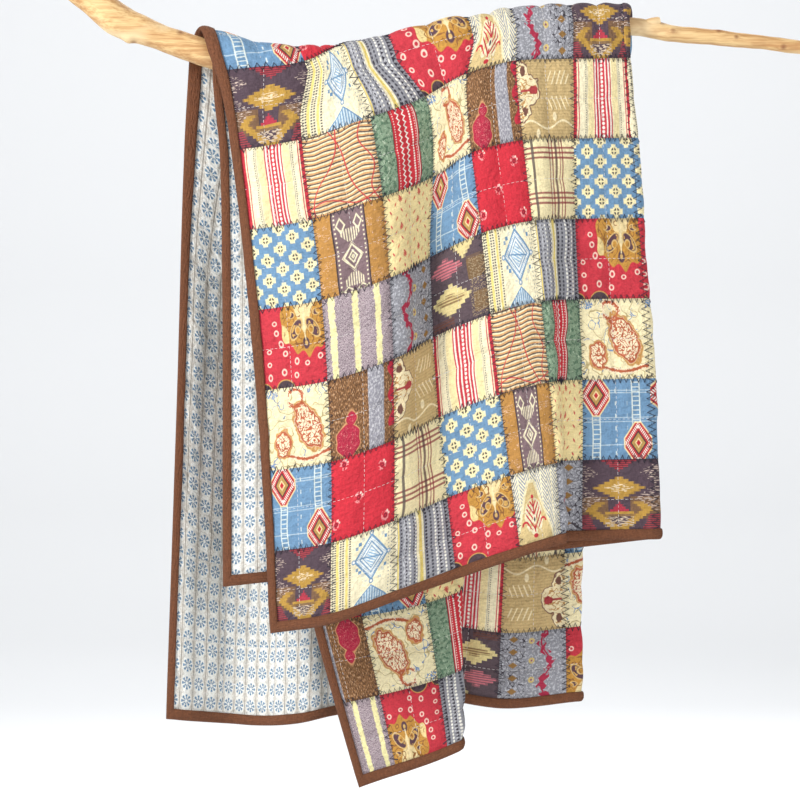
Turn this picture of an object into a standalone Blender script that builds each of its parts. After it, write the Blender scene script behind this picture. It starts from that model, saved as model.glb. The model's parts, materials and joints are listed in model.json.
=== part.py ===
"""A patchwork quilt, folded in half lengthwise and hung over a peeled branch.

Metres, +Z up. X runs along the branch, the front of the quilt faces -Y, and the origin is the
middle of the branch's right sawn end. The shape is worked out in millimetres in a drape frame
whose middle is DRAPE_MIDDLE, and is scaled at the end.

A place on the quilt is a column and a row, both counted in patches. Column 0 and column 13.75
are the two long bound edges, which hang together on the left, and the quilt is folded between
them on the right. Row 8 is the front hem and row -8 the rear hem. The patchwork side is the
outside of the fold.
"""

import math

import bmesh
import bpy
from mathutils import Vector

MM = 0.001

# The quilt as cut and sewn
PATCH_HEIGHT = 95.25
PATCH_WIDTH = 92.4
COLUMNS = 13.75
HEM_ROW = 8.0
BINDING_WIDTH = 12.0
SKIN = 0.6
BATTING = 3.2
LAYER_GAP = 0.3
NODE_GAP = 1.0

# The branch: (along X, height of its axis, radius)
BRANCH = [
    (-405, 498, 16.5),
    (-354, 460, 16.5),
    (-325, 437, 18.5),
    (-300, 427, 17.0),
    (-270, 415, 15.5),
    (-230, 401, 15.5),
    (-170, 384, 15.0),
    (-100, 376, 14.5),
    (-20, 389, 14.0),
    (85, 412, 13.0),
    (150, 424, 12.0),
    (260, 430, 10.5),
    (310, 422, 9.5),
    (360, 417, 9.0),
    (435, 409, 8.0),
    (465, 405, 7.8),
    (480, 405, 7.6),
    (500, 405, 7.6),
]
BRANCH_STEP = 18.0
# A cut twig that lies along the top: from its root to its sawn end
STUB_ROOT = (268, -2, 430)
STUB_END = (299, -2, 434.5)
STUB_RADIUS = 6.2

# Where the drapes are free to swing: below this height they leave the branch
SWING_HEIGHT = 345.0
FRONT_PIVOT_Y = -56.5
REAR_PIVOT_Y = 55.5

DRAPE_MIDDLE = Vector((-500, 0, -405))
INNER_GAP = 6.0
FOLD_WIDTH = 0.14
FOLD_LAP = 0.2

# The outer half over the branch: (along X, distance from the branch's surface)
OUTER_RISE = [(-245, 9.5), (-222, 12), (-205, 13.5), (-80, 13), (10, 16), (60, 16), (90, 13)]
OUTER_RISE += [(125, 15), (190, 13), (260, 13)]

# The front's left edge, and the fold on its right: (row, along X)
FRONT_LEFT = [(0.7, -220), (1.2, -205), (2, -192), (4, -171), (6, -157), (8, -147)]
FRONT_RIGHT = [(0.7, 256), (2, 259), (4, 272), (6, 285), (8, 292)]
ROW_TWO_HEIGHT = 284.0
FRONT_ROW_PITCH = 91.5
COLUMN_LIFT = [(0, 0), (1, 12), (2, 37), (3, 62), (4, 88), (5, 102), (6, 105), (7.2, 107)]

# The front's columns: where each lies between the left edge and the fold, and how far its
# folds stand forward, at five rows from the branch to the hem
FRONT_COLUMNS = [0, 1, 2, 3, 4, 5, 5.3, 5.65, 6, 7]
FRONT_SPREAD = [
    (0.00, [0, 0.219, 0.314, 0.426, 0.62, 0.727, 0.77, 0.82, 0.87, 1]),
    (0.10, [0, 0.18, 0.351, 0.498, 0.589, 0.716, 0.76, 0.81, 0.86, 1]),
    (0.38, [0, 0.187, 0.36, 0.463, 0.596, 0.724, 0.757, 0.796, 0.835, 1]),
    (0.68, [0, 0.181, 0.342, 0.454, 0.61, 0.737, 0.758, 0.775, 0.825, 1]),
    (1.00, [0, 0.156, 0.318, 0.481, 0.648, 0.752, 0.762, 0.737, 0.808, 1]),
]
FRONT_FOLDS = [
    (0.00, [0, 0, 0, 0, 0, 0, 0, 0, 0, 0]),
    (0.12, [2, 22, 30, 2, 18, 24, 20, 16, 12, 0]),
    (0.40, [6, 36, 44, 0, 30, 36, 32, 22, 12, 0]),
    (0.70, [8, 38, 42, 6, 32, 34, 27, 16, 6, 0]),
    (1.00, [10, 36, 34, 16, 34, 33, 25, 9, 1, 0]),
]
FRONT_OUTER_Y = -31.0
FRONT_INNER_Y = -20.0

# The front's inner half
INNER_LEFT = [(1.6, -214), (2.4, -207), (4, -203), (8, -202)]
INNER_HEM_LEFT = -213.0
INNER_FOLDS = [(0, 0), (0.2, 5), (0.32, 6), (0.5, 0), (0.65, 6), (0.8, 7), (1, 2)]

# The rear's outer half
REAR_LEFT = [(0, -243), (0.15, -251), (0.5, -259), (1, -272)]
REAR_RIGHT = [(0, 256), (0.35, 236), (0.75, 208), (1, 206)]
REAR_HEM = [(0, -371), (0.2, -381), (0.31, -377), (0.41, -368), (0.7, -352), (1, -350)]
REAR_OUTER_Y = 56.0
REAR_WAVES = 3
REAR_WAVE_DEPTH = 36.0

# The rear's inner half: one deep pleat that widens towards the hem. Its three runs lie one
# behind another, and shares are counted from the lengthwise fold to the bound edge.
INNER_TOP_X = (256, -214)
INNER_EDGE_DRIFT = 167.0
PLEAT_DEPTH = 95.0
PLEAT_EDGE_X = (21, 77)
PLEAT_SHARE = (0.5, 0.469)
PLEAT_CLOTH = 545.0
PLEAT_ROUNDING = 0.022
PLEAT_RUN_GAP = 14.0
PLEAT_NEAR_Y = 20.0
INNER_HEM_HEIGHT = [(0, -350), (0.18, -358), (0.36, -346), (0.469, -352), (0.643, -401), (1, -447)]

COLOURS = {
    "patchwork": (0.60, 0.33, 0.28),
    "batting": (0.93, 0.91, 0.86),
    "backing": (0.80, 0.81, 0.80),
    "binding": (0.26, 0.13, 0.075),
    "branch": (0.78, 0.56, 0.34),
}


def eased(low, high, at):
    """0 before low, 1 after high, and smooth between them."""
    t = min(1.0, max(0.0, (at - low) / (high - low)))
    return t * t * (3 - 2 * t)


def through(stops, at):
    """A smooth curve's value at a place, from its (place, value) stops."""
    if at <= stops[0][0]:
        return stops[0][1]
    if at >= stops[-1][0]:
        return stops[-1][1]
    k = next(i for i in range(len(stops) - 1) if at <= stops[i + 1][0])
    (x0, y0), (x1, y1) = stops[k], stops[k + 1]
    x_before, y_before = stops[max(k - 1, 0)]
    x_after, y_after = stops[min(k + 2, len(stops) - 1)]
    span = x1 - x0
    start = (y1 - y_before) / (x1 - x_before) * span
    end = (y_after - y0) / (x_after - x0) * span
    t = (at - x0) / span
    return (
        y0 * (1 + 2 * t) * (1 - t) ** 2
        + start * t * (1 - t) ** 2
        + y1 * t * t * (3 - 2 * t)
        - end * t * t * (1 - t)
    )


def table(rows, places, down, across):
    """A value from rows of (down, values at the places), smooth both ways."""
    columns = [(d, through(list(zip(places, values)), across)) for d, values in rows]
    return through(columns, down)


def branch_axis(x):
    return through([(s[0], s[1]) for s in BRANCH], x)


def branch_radius(x):
    return through([(s[0], s[2]) for s in BRANCH], x)


def fold_column(row):
    """Where the lengthwise fold runs: it drifts to the right down the rear."""
    return 7.0 + 0.2 * eased(8, 1, row) + 0.5 * eased(1, -8, row)


def outer_ridge_x(column):
    share = through(list(zip(FRONT_COLUMNS, FRONT_SPREAD[0][1])), column)
    left, right = FRONT_LEFT[0][1], FRONT_RIGHT[0][1]
    return left + share * (right - left)


def front_height(column, row):
    return ROW_TWO_HEIGHT - FRONT_ROW_PITCH * (row - 2) + through(COLUMN_LIFT, column)


def outer_radius(x):
    return branch_radius(x) + through(OUTER_RISE, x)


def outer_rows(column):
    """The rows at which the outer half leaves the branch, front and rear."""
    x = outer_ridge_x(column)
    front = 2 + (front_height(column, 2) - branch_axis(x)) / FRONT_ROW_PITCH
    return front, front - math.pi * outer_radius(x) / PATCH_HEIGHT


def front_outer(column, row):
    top = outer_rows(column)[0]
    down = (row - top) / (HEM_ROW - top)
    left, right = through(FRONT_LEFT, row), through(FRONT_RIGHT, row)
    x = left + table(FRONT_SPREAD, FRONT_COLUMNS, down, column) * (right - left)
    near = eased(0, 0.25, down)
    y = FRONT_OUTER_Y * near - outer_radius(x) * (1 - near)
    y -= table(FRONT_FOLDS, FRONT_COLUMNS, down, column)
    return Vector((x, y, front_height(column, row)))


def rear_outer(column, row):
    top = outer_rows(column)[1]
    down = (top - row) / (top + HEM_ROW)
    share = column / fold_column(row)
    left, right = through(REAR_LEFT, down), through(REAR_RIGHT, down)
    ridge_x = outer_ridge_x(column)
    ridge_x += (left - FRONT_LEFT[0][1]) * (1 - share)
    level = eased(0, 0.35, down)
    x = ridge_x * (1 - level) + (left + share * (right - left)) * level
    start = branch_axis(outer_ridge_x(column))
    z = start + (through(REAR_HEM, share) - start) * down
    near = eased(-0.02, 0.16, down)
    y = REAR_OUTER_Y * near + outer_radius(x) * (1 - near)
    wave = (1 - math.cos(2 * math.pi * REAR_WAVES * share)) / 2
    y += REAR_WAVE_DEPTH * wave * eased(0.03, 0.5, down)
    return Vector((x, y, z))


def over_branch(front, rear, radius, row, rows):
    """A point on the half turn over the branch, between its two lowest points."""
    turn = math.pi * (rows[0] - row) / (rows[0] - rows[1])
    middle = front.lerp(rear, turn / math.pi)
    axis = branch_axis(middle.x)
    return Vector((middle.x, -radius * math.cos(turn), axis + radius * math.sin(turn)))


def outer(column, row):
    rows = outer_rows(column)
    if row >= rows[0]:
        return front_outer(column, row)
    if row <= rows[1]:
        return rear_outer(column, row)
    front, rear = front_outer(column, rows[0]), rear_outer(column, rows[1])
    x = front.lerp(rear, (rows[0] - row) / (rows[0] - rows[1])).x
    return over_branch(front, rear, outer_radius(x), row, rows)


def inner_share(column, row):
    """0 at the lengthwise fold and 1 at the bound edge."""
    start = fold_column(row) + FOLD_WIDTH
    return (column - start) / (COLUMNS - start)


def inner_ridge_x(share):
    right, left = INNER_TOP_X
    return right + (left - right) * share


def inner_rows(share):
    x = inner_ridge_x(share)
    front = 1.57 + 0.05 * share
    radius = branch_radius(x) + INNER_GAP
    return front, front - math.pi * radius / PATCH_HEIGHT


def front_inner(share, row):
    top = inner_rows(share)[0]
    down = (row - top) / (HEM_ROW - top)
    left, right = through(INNER_LEFT, row), through(FRONT_RIGHT, row)
    x = right + share * (left - right)
    x += (inner_ridge_x(share) - x) * eased(0.2, 0, down)
    hem = front_height(7.2, HEM_ROW) * (1 - share) + INNER_HEM_LEFT * share
    z = branch_axis(inner_ridge_x(share)) * (1 - down) + hem * down
    near = eased(0, 0.2, down)
    y = FRONT_INNER_Y * near - (branch_radius(x) + INNER_GAP) * (1 - near)
    y -= through(INNER_FOLDS, share) * near
    return Vector((x, y, z))


def pleat_x(share, down):
    """Along X on the pleated rear: right run, back under itself, then the left run."""
    depth = PLEAT_DEPTH * down**1.3
    first = PLEAT_SHARE[0] + (PLEAT_SHARE[1] - PLEAT_SHARE[0]) * down
    second = first + depth / PLEAT_CLOTH
    edge = PLEAT_EDGE_X[0] + (PLEAT_EDGE_X[1] - PLEAT_EDGE_X[0]) * eased(0, 0.6, down)
    right = through(REAR_RIGHT, down)
    left = INNER_TOP_X[1] + INNER_EDGE_DRIFT * down**1.5
    if share < first:
        return right + (edge - depth - right) * share / first
    if share < second:
        return edge - depth + depth * (share - first) / (second - first)
    return edge + (left - edge) * (share - second) / (1 - second)


def rear_inner(share, row):
    top = inner_rows(share)[1]
    down = max(0, (top - row) / (top + HEM_ROW))
    around = [share + PLEAT_ROUNDING * k / 2 for k in range(-2, 3)]
    x = sum(pleat_x(s, down) for s in around) / len(around)
    first = PLEAT_SHARE[0] + (PLEAT_SHARE[1] - PLEAT_SHARE[0]) * down
    second = first + PLEAT_DEPTH * down**1.3 / PLEAT_CLOTH
    runs = 2 - sum(eased(s - PLEAT_ROUNDING, s + PLEAT_ROUNDING, share) for s in (first, second))
    start = branch_axis(inner_ridge_x(share))
    z = start + (through(INNER_HEM_HEIGHT, share) - start) * down
    near = eased(0, 0.22, down)
    radius = branch_radius(inner_ridge_x(share)) + INNER_GAP
    y = (PLEAT_NEAR_Y + PLEAT_RUN_GAP * runs) * near + radius * (1 - near)
    return Vector((x, y, z))


def inner(column, row):
    share = inner_share(column, row)
    rows = inner_rows(share)
    if row >= rows[0]:
        return front_inner(share, row)
    if row <= rows[1]:
        return rear_inner(share, row)
    front, rear = front_inner(share, rows[0]), rear_inner(share, rows[1])
    radius = branch_radius(front.x) + INNER_GAP
    return over_branch(front, rear, radius, row, rows)


def quilt(column, row):
    """The middle of the quilt's thickness, in millimetres in the drape frame."""
    fold = fold_column(row)
    if column <= fold:
        return outer(column, row)
    if column >= fold + FOLD_WIDTH:
        return inner(column, row)
    start, end = outer(fold, row), inner(fold + FOLD_WIDTH, row)
    turn = math.pi * (column - fold) / FOLD_WIDTH
    middle, half = (start + end) / 2, (start - end) / 2
    return middle + half * math.cos(turn) + Vector((half.length, 0, 0)) * math.sin(turn)


def row_at_height(column_of, height, hem):
    """The row at which a column passes a height, on the way to a hem, by halving."""
    near, far = 1.0, hem
    for _ in range(30):
        middle = (near + far) / 2
        if quilt(column_of(middle), middle).z > height:
            near = middle
        else:
            far = middle
    return near


# How the quilt is divided across into strips. Each is a list of functions from the row to the
# column, so that a strip's edge can follow the lengthwise fold.
def fixed(column):
    return lambda row: column


def beyond_fold(distance):
    return lambda row: fold_column(row) + distance


def inner_at(share):
    return lambda row: (
        fold_column(row)
        + FOLD_WIDTH
        + FOLD_LAP
        + share * (COLUMNS - BAND - fold_column(row) - FOLD_WIDTH - FOLD_LAP)
    )


BAND = BINDING_WIDTH / PATCH_WIDTH
GAP_ACROSS = NODE_GAP / PATCH_WIDTH
GAP_DOWN = NODE_GAP / PATCH_HEIGHT
HEM_BAND = BINDING_WIDTH / PATCH_HEIGHT
PROBE = 0.01

OUTER_STRIP = [fixed(BAND + GAP_ACROSS)]
OUTER_STRIP += [fixed(c) for c in (0.55, 1, 1.5, 2, 2.33, 2.67, 3, 3.4, 3.8, 4.3, 4.8, 5.2, 5.65, 6, 6.5)]
OUTER_STRIP += [beyond_fold(FOLD_WIDTH * k / 2) for k in range(3)]
OUTER_STRIP += [beyond_fold(FOLD_WIDTH + FOLD_LAP)]
INNER_STRIP = [beyond_fold(FOLD_WIDTH + FOLD_LAP + GAP_ACROSS)]
INNER_STRIP += [
    inner_at(s) for s in (0.14, 0.29, 0.4, 0.47, 0.5, 0.53, 0.61, 0.7, 0.735, 0.77, 0.88)
]
INNER_STRIP += [fixed(COLUMNS - BAND - GAP_ACROSS)]
OUTER_EDGE = [fixed(0.0), fixed(BAND)]
INNER_EDGE = [fixed(COLUMNS - BAND), fixed(COLUMNS)]
OUTER_HEM = [fixed(0.0)] + OUTER_STRIP
INNER_HEM = INNER_STRIP + [fixed(COLUMNS)]
STRIPS = {
    "outer": (OUTER_STRIP, OUTER_EDGE, OUTER_HEM),
    "inner": (INNER_STRIP, INNER_EDGE, INNER_HEM),
}

# Each body's steps from one row to another: where it starts and ends, and how finely
FRONT_STEPS, REAR_STEPS, RIDGE_STEPS = 6, 7, 12
BODIES = {
    "ridge": Vector((0, 0, SWING_HEIGHT)),
    "front": Vector((0, FRONT_PIVOT_Y, SWING_HEIGHT)),
    "rear": Vector((0, REAR_PIVOT_Y, SWING_HEIGHT)),
}


def row_range(body, column_of):
    """The first and last row of a body at one column, from the front's end to the rear's."""
    if body == "front":
        return HEM_ROW, row_at_height(column_of, SWING_HEIGHT, HEM_ROW) + GAP_DOWN
    if body == "rear":
        return row_at_height(column_of, SWING_HEIGHT, -HEM_ROW) - GAP_DOWN, -HEM_ROW
    front = row_at_height(column_of, SWING_HEIGHT, HEM_ROW)
    return front, row_at_height(column_of, SWING_HEIGHT, -HEM_ROW)


def quilt_face(column, row):
    """A point of the middle surface, and the direction out of its patchwork side."""
    point = quilt(column, row)
    across = quilt(column + PROBE, row) - quilt(column - PROBE, row)
    down = quilt(column, row + PROBE) - quilt(column, row - PROBE)
    return point, down.cross(across).normalized()


def surface(body, strip, steps, from_end=0.0, to_end=0.0):
    """A grid of faces over one strip of one body, from the front's end to the rear's."""
    grid = []
    for column_of in strip:
        first, last = row_range(body, column_of)
        first, last = first - from_end, last + to_end
        rows = [first + (last - first) * k / steps for k in range(steps + 1)]
        grid.append([quilt_face(column_of(row), row) for row in rows])
    return grid


def hem_surface(body, strip):
    row = HEM_ROW if body == "front" else -HEM_ROW
    inward = row - math.copysign(HEM_BAND, row)
    return [[quilt_face(column_of(r), r) for r in (row, inward)] for column_of in strip]


def material(name):
    found = bpy.data.materials.new(name)
    found.use_nodes = True
    shader = found.node_tree.nodes["Principled BSDF"]
    shader.inputs["Base Color"].default_value = (*COLOURS[name], 1)
    shader.inputs["Roughness"].default_value = 0.6 if name == "branch" else 0.9
    shader.inputs["Metallic"].default_value = 0.0
    return found


def parent_empty(name, place):
    empty = bpy.data.objects.new(name, None)
    empty.location = (place + DRAPE_MIDDLE) * MM
    bpy.context.scene.collection.objects.link(empty)
    return empty


def cloth_sheet(name, grid, finish, body, low, high):
    """One layer of the quilt: a grid off the middle surface, extruded to its other face."""
    mesh = bpy.data.meshes.new(name)
    bm = bmesh.new()
    across, down = len(grid), len(grid[0])
    bmesh.ops.create_grid(bm, x_segments=down - 1, y_segments=across - 1, size=1)
    bmesh.ops.triangulate(bm, faces=bm.faces, quad_method="FIXED")
    bm.verts.ensure_lookup_table()
    thickness = {}
    for k, line in enumerate(grid):
        for i, (point, outward) in enumerate(line):
            corner = bm.verts[k * down + i]
            corner.co = (point + outward * low - BODIES[body]) * MM
            thickness[tuple(corner.co)] = outward * (high - low) * MM
    raised = bmesh.ops.extrude_face_region(bm, geom=bm.faces[:], use_keep_orig=True)
    for part in raised["geom"]:
        if isinstance(part, bmesh.types.BMVert):
            part.co += thickness[tuple(part.co)]
    bmesh.ops.recalc_face_normals(bm, faces=bm.faces)
    bm.to_mesh(mesh)
    bm.free()
    mesh.materials.append(finish)
    sheet = bpy.data.objects.new(name, mesh)
    sheet.parent = PIVOTS[body]
    PARTS.objects.link(sheet)
    return sheet


def quilt_layers(half, body, steps):
    strip = STRIPS[half][0]
    ends = {"front": (HEM_BAND + GAP_DOWN, 0), "rear": (0, HEM_BAND + GAP_DOWN), "ridge": (0, 0)}
    grid = surface(body, strip, steps, *ends[body])
    half_batting = BATTING / 2
    skin_start = half_batting + LAYER_GAP
    for layer, low, high in (
        ("patchwork", skin_start, skin_start + SKIN),
        ("batting", -half_batting, half_batting),
        ("backing", -skin_start - SKIN, -skin_start),
    ):
        cloth_sheet(f"{body}_{half}_{layer}", grid, FINISHES[layer], body, low, high)


def bindings(half, body, steps):
    edge, hem = STRIPS[half][1:]
    ends = {"front": (HEM_BAND + GAP_DOWN, 0), "rear": (0, HEM_BAND + GAP_DOWN), "ridge": (0, 0)}
    reach = BATTING / 2 + LAYER_GAP + SKIN
    grid = surface(body, edge, steps, *ends[body])
    name = f"{body}_{half}_side_binding"
    cloth_sheet(name, grid, FINISHES["binding"], body, -reach, reach)
    if body != "ridge":
        grid = hem_surface(body, hem)
        name = f"{body}_{half}_hem_binding"
        cloth_sheet(name, grid, FINISHES["binding"], body, -reach, reach)


def branch():
    """The limb as a bevelled curve made solid, with its sawn twig stub joined on."""
    curve = bpy.data.curves.new("limb_line", "CURVE")
    curve.dimensions = "3D"
    curve.bevel_depth = MM
    curve.bevel_resolution = 3
    curve.use_fill_caps = True
    first, last = BRANCH[0][0], BRANCH[-1][0]
    count = round((last - first) / BRANCH_STEP)
    spline = curve.splines.new("POLY")
    spline.points.add(count)
    for k in range(count + 1):
        x = first + (last - first) * k / count
        at = (Vector((x, 0, branch_axis(x))) + DRAPE_MIDDLE) * MM
        spline.points[k].co = (*at, 1)
        spline.points[k].radius = branch_radius(x)
    guide = bpy.data.objects.new("limb_line", curve)
    bpy.context.scene.collection.objects.link(guide)
    bpy.context.view_layer.update()
    solid = guide.evaluated_get(bpy.context.evaluated_depsgraph_get())
    mesh = bpy.data.meshes.new_from_object(solid)
    bpy.data.objects.remove(guide)
    bm = bmesh.new()
    bm.from_mesh(mesh)
    bmesh.ops.remove_doubles(bm, verts=bm.verts, dist=0.00001)
    bmesh.ops.recalc_face_normals(bm, faces=bm.faces)
    bm.to_mesh(mesh)
    bm.free()
    mesh.name = "branch"
    mesh.materials.clear()
    mesh.materials.append(FINISHES["branch"])
    limb = bpy.data.objects.new("branch", mesh)
    PARTS.objects.link(limb)

    root, end = Vector(STUB_ROOT), Vector(STUB_END)
    run = end - root
    stub_mesh = bpy.data.meshes.new("twig_stub")
    bm = bmesh.new()
    bmesh.ops.create_cone(
        bm,
        cap_ends=True,
        segments=10,
        radius1=STUB_RADIUS * 0.8 * MM,
        radius2=STUB_RADIUS * MM,
        depth=run.length * MM,
    )
    bm.to_mesh(stub_mesh)
    bm.free()
    stub = bpy.data.objects.new("twig_stub", stub_mesh)
    stub.location = ((root + end) / 2 + DRAPE_MIDDLE) * MM
    stub.rotation_euler = run.to_track_quat("Z", "Y").to_euler()
    stub.hide_render = True
    stub.display_type = "WIRE"
    CUTTERS.objects.link(stub)
    join = limb.modifiers.new("twig_stub", "BOOLEAN")
    join.operation = "UNION"
    join.object = stub


for old in list(bpy.data.objects):
    bpy.data.objects.remove(old, do_unlink=True)
PARTS = bpy.data.collections.new("quilt_on_branch")
CUTTERS = bpy.data.collections.new("cutters")
bpy.context.scene.collection.children.link(PARTS)
bpy.context.scene.collection.children.link(CUTTERS)
FINISHES = {name: material(name) for name in COLOURS}
PIVOTS = {body: parent_empty(f"{body}_pivot", place) for body, place in BODIES.items()}
branch()
for half in STRIPS:
    for body, steps in (("front", FRONT_STEPS), ("rear", REAR_STEPS), ("ridge", RIDGE_STEPS)):
        quilt_layers(half, body, steps)
        bindings(half, body, steps)
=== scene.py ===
import json
import math

import bpy
import numpy as np
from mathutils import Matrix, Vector

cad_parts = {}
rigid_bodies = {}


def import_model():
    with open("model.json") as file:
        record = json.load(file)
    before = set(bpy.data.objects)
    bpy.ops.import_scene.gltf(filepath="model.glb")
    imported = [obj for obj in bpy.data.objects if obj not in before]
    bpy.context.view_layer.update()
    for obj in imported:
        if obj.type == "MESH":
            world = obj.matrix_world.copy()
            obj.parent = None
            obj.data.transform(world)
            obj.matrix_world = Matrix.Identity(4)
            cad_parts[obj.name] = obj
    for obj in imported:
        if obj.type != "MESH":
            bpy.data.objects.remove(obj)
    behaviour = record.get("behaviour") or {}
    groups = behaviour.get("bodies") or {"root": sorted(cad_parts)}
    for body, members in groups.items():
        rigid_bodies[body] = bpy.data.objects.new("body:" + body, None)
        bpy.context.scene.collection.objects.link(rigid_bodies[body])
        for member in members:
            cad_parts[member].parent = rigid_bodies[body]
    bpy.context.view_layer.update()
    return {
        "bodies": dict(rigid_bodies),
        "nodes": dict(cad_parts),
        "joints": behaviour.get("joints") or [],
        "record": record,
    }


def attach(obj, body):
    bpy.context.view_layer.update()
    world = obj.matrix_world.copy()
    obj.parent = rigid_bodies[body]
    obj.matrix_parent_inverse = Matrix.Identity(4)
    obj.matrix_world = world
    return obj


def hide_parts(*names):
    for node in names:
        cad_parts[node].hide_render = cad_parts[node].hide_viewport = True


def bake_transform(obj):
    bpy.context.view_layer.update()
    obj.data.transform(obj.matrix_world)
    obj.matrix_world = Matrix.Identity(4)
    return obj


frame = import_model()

# ---- Camera, light and room ----------------------------------------------------------------
# A plain pale studio: one long lens looking straight at the quilt's front, soft lamps on both
# sides, and a pale paper floor that sweeps up into the wall.

MM = 0.001
# The middle of the view, counted from the origin at the branch's right sawn end
VIEW_MIDDLE = np.array([-0.500, 0.0, -0.405])
VIEW_WIDTH = 0.92
CAMERA_DISTANCE = 4.2
FLOOR_DROP = 0.62
# The floor's outline from front to back: (depth, height)
SWEEP = [(-6, 0), (3.2, 0), (3.9, 0.08), (4.5, 0.35), (4.9, 0.9), (5.0, 1.6), (5.0, 6)]

camera_data = bpy.data.cameras.new("camera")
camera_data.sensor_width = 36.0
camera_data.lens = 36.0 * CAMERA_DISTANCE / VIEW_WIDTH
camera = bpy.data.objects.new("camera", camera_data)
camera.location = VIEW_MIDDLE + (0, -CAMERA_DISTANCE, 0)
camera.rotation_euler = (math.radians(90), 0, 0)
bpy.context.scene.collection.objects.link(camera)
bpy.context.scene.camera = camera


def area_lamp(name, place, size, power, aim=(0, 0, 0)):
    lamp_data = bpy.data.lights.new(name, "AREA")
    lamp_data.shape = "DISK"
    lamp_data.size = size
    lamp_data.energy = power
    lamp = bpy.data.objects.new(name, lamp_data)
    lamp.location = VIEW_MIDDLE + place
    toward = Vector(VIEW_MIDDLE + aim) - lamp.location
    lamp.rotation_euler = toward.to_track_quat("-Z", "Y").to_euler()
    bpy.context.scene.collection.objects.link(lamp)


area_lamp("key_lamp", (-2.4, -1.7, 1.7), 0.9, 96)
area_lamp("fill_lamp", (1.4, -3.0, 0.4), 2.4, 28)
area_lamp("rear_lamp", (0.6, 2.2, 1.6), 1.8, 26)
area_lamp("wall_lamp", (0, 2.0, 2.6), 2.5, 44, aim=(0, 4.6, 0.2))

world = bpy.data.worlds.new("studio")
world.use_nodes = True
world.node_tree.nodes["Background"].inputs["Color"].default_value = (0.97, 0.98, 1.0, 1)
world.node_tree.nodes["Background"].inputs["Strength"].default_value = 0.52
bpy.context.scene.world = world
bpy.context.scene.view_settings.view_transform = "Standard"


def linear(red, green, blue):
    """A colour given in the 0 to 255 scale of a paint chart, as the renderer wants it."""
    chart = np.array([red, green, blue]) / 255
    return tuple(np.where(chart < 0.04, chart / 12.92, ((chart + 0.055) / 1.055) ** 2.4))


def new_material(name, roughness):
    made = bpy.data.materials.new(name)
    made.use_nodes = True
    made.node_tree.nodes["Principled BSDF"].inputs["Roughness"].default_value = roughness
    return made


def mesh_object(name, points, face_sets, materials, uv=None, slots=None):
    """A smooth mesh at the origin from points in metres and arrays of faces."""
    mesh = bpy.data.meshes.new(name)
    corners = np.concatenate([np.ravel(faces) for faces in face_sets]).astype(np.int32)
    sizes = np.concatenate([np.full(len(faces), faces.shape[1]) for faces in face_sets])
    mesh.vertices.add(len(points))
    mesh.vertices.foreach_set("co", np.asarray(points, np.float32).ravel())
    mesh.loops.add(len(corners))
    mesh.loops.foreach_set("vertex_index", corners)
    mesh.polygons.add(len(sizes))
    mesh.polygons.foreach_set("loop_start", (np.cumsum(sizes) - sizes).astype(np.int32))
    mesh.polygons.foreach_set("use_smooth", np.ones(len(sizes), bool))
    for made in materials:
        mesh.materials.append(made)
    if slots is not None:
        mesh.polygons.foreach_set("material_index", np.asarray(slots, np.int32))
    if uv is not None:
        layer = mesh.uv_layers.new(name="cloth")
        layer.data.foreach_set("uv", np.asarray(uv, np.float32)[corners].ravel())
    mesh.update(calc_edges=True)
    made = bpy.data.objects.new(name, mesh)
    bpy.context.scene.collection.objects.link(made)
    return made


def grid_faces(rows, columns, closed=False):
    """Quads over a grid of points stored row by row."""
    i, j = np.meshgrid(np.arange(rows - 1), np.arange(columns - (not closed)), indexing="ij")
    after = (j + 1) % columns
    quads = [i * columns + j, i * columns + after, (i + 1) * columns + after, (i + 1) * columns + j]
    return np.stack([q.ravel() for q in quads], axis=1)


paper = new_material("floor_paper", 0.9)
paper.node_tree.nodes["Principled BSDF"].inputs["Base Color"].default_value = (0.86, 0.87, 0.88, 1)
# The paper is seen only from its front, so that it never hides what stands before it
seen_through = paper.node_tree.nodes.new("ShaderNodeBsdfTransparent")
side_seen = paper.node_tree.nodes.new("ShaderNodeNewGeometry")
either_side = paper.node_tree.nodes.new("ShaderNodeMixShader")
for outlet, inlet in (
    (side_seen.outputs["Backfacing"], either_side.inputs[0]),
    (paper.node_tree.nodes["Principled BSDF"].outputs[0], either_side.inputs[1]),
    (seen_through.outputs[0], either_side.inputs[2]),
    (either_side.outputs[0], paper.node_tree.nodes["Material Output"].inputs["Surface"]),
):
    paper.node_tree.links.new(outlet, inlet)
sweep = [(side, y, z) for side in (-7, 7) for y, z in SWEEP]
floor_points = np.array(sweep) + VIEW_MIDDLE - (0, 0, FLOOR_DROP)
floor = mesh_object("floor", floor_points, [grid_faces(2, len(SWEEP))[:, ::-1]], [paper])


# ---- The branch ----------------------------------------------------------------------------
# A peeled, dried branch, thick and bent at its left end and thin at its right, with knots
# where side twigs were cut. Both ends are sawn flat.

# Millimetres from the middle of the view: (along X, height of the axis, radius)
BRANCH = [
    (-405, 498, 16.5),
    (-354, 460, 16.5),
    (-325, 437, 18.5),
    (-300, 427, 17.0),
    (-270, 415, 15.5),
    (-230, 401, 15.5),
    (-170, 384, 15.0),
    (-100, 376, 14.5),
    (-20, 389, 14.0),
    (85, 412, 13.0),
    (150, 424, 12.0),
    (260, 430, 10.5),
    (310, 422, 9.5),
    (360, 417, 9.0),
    (435, 409, 8.0),
    (465, 405, 7.8),
    (480, 405, 7.6),
    (500, 405, 7.6),
]
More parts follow.
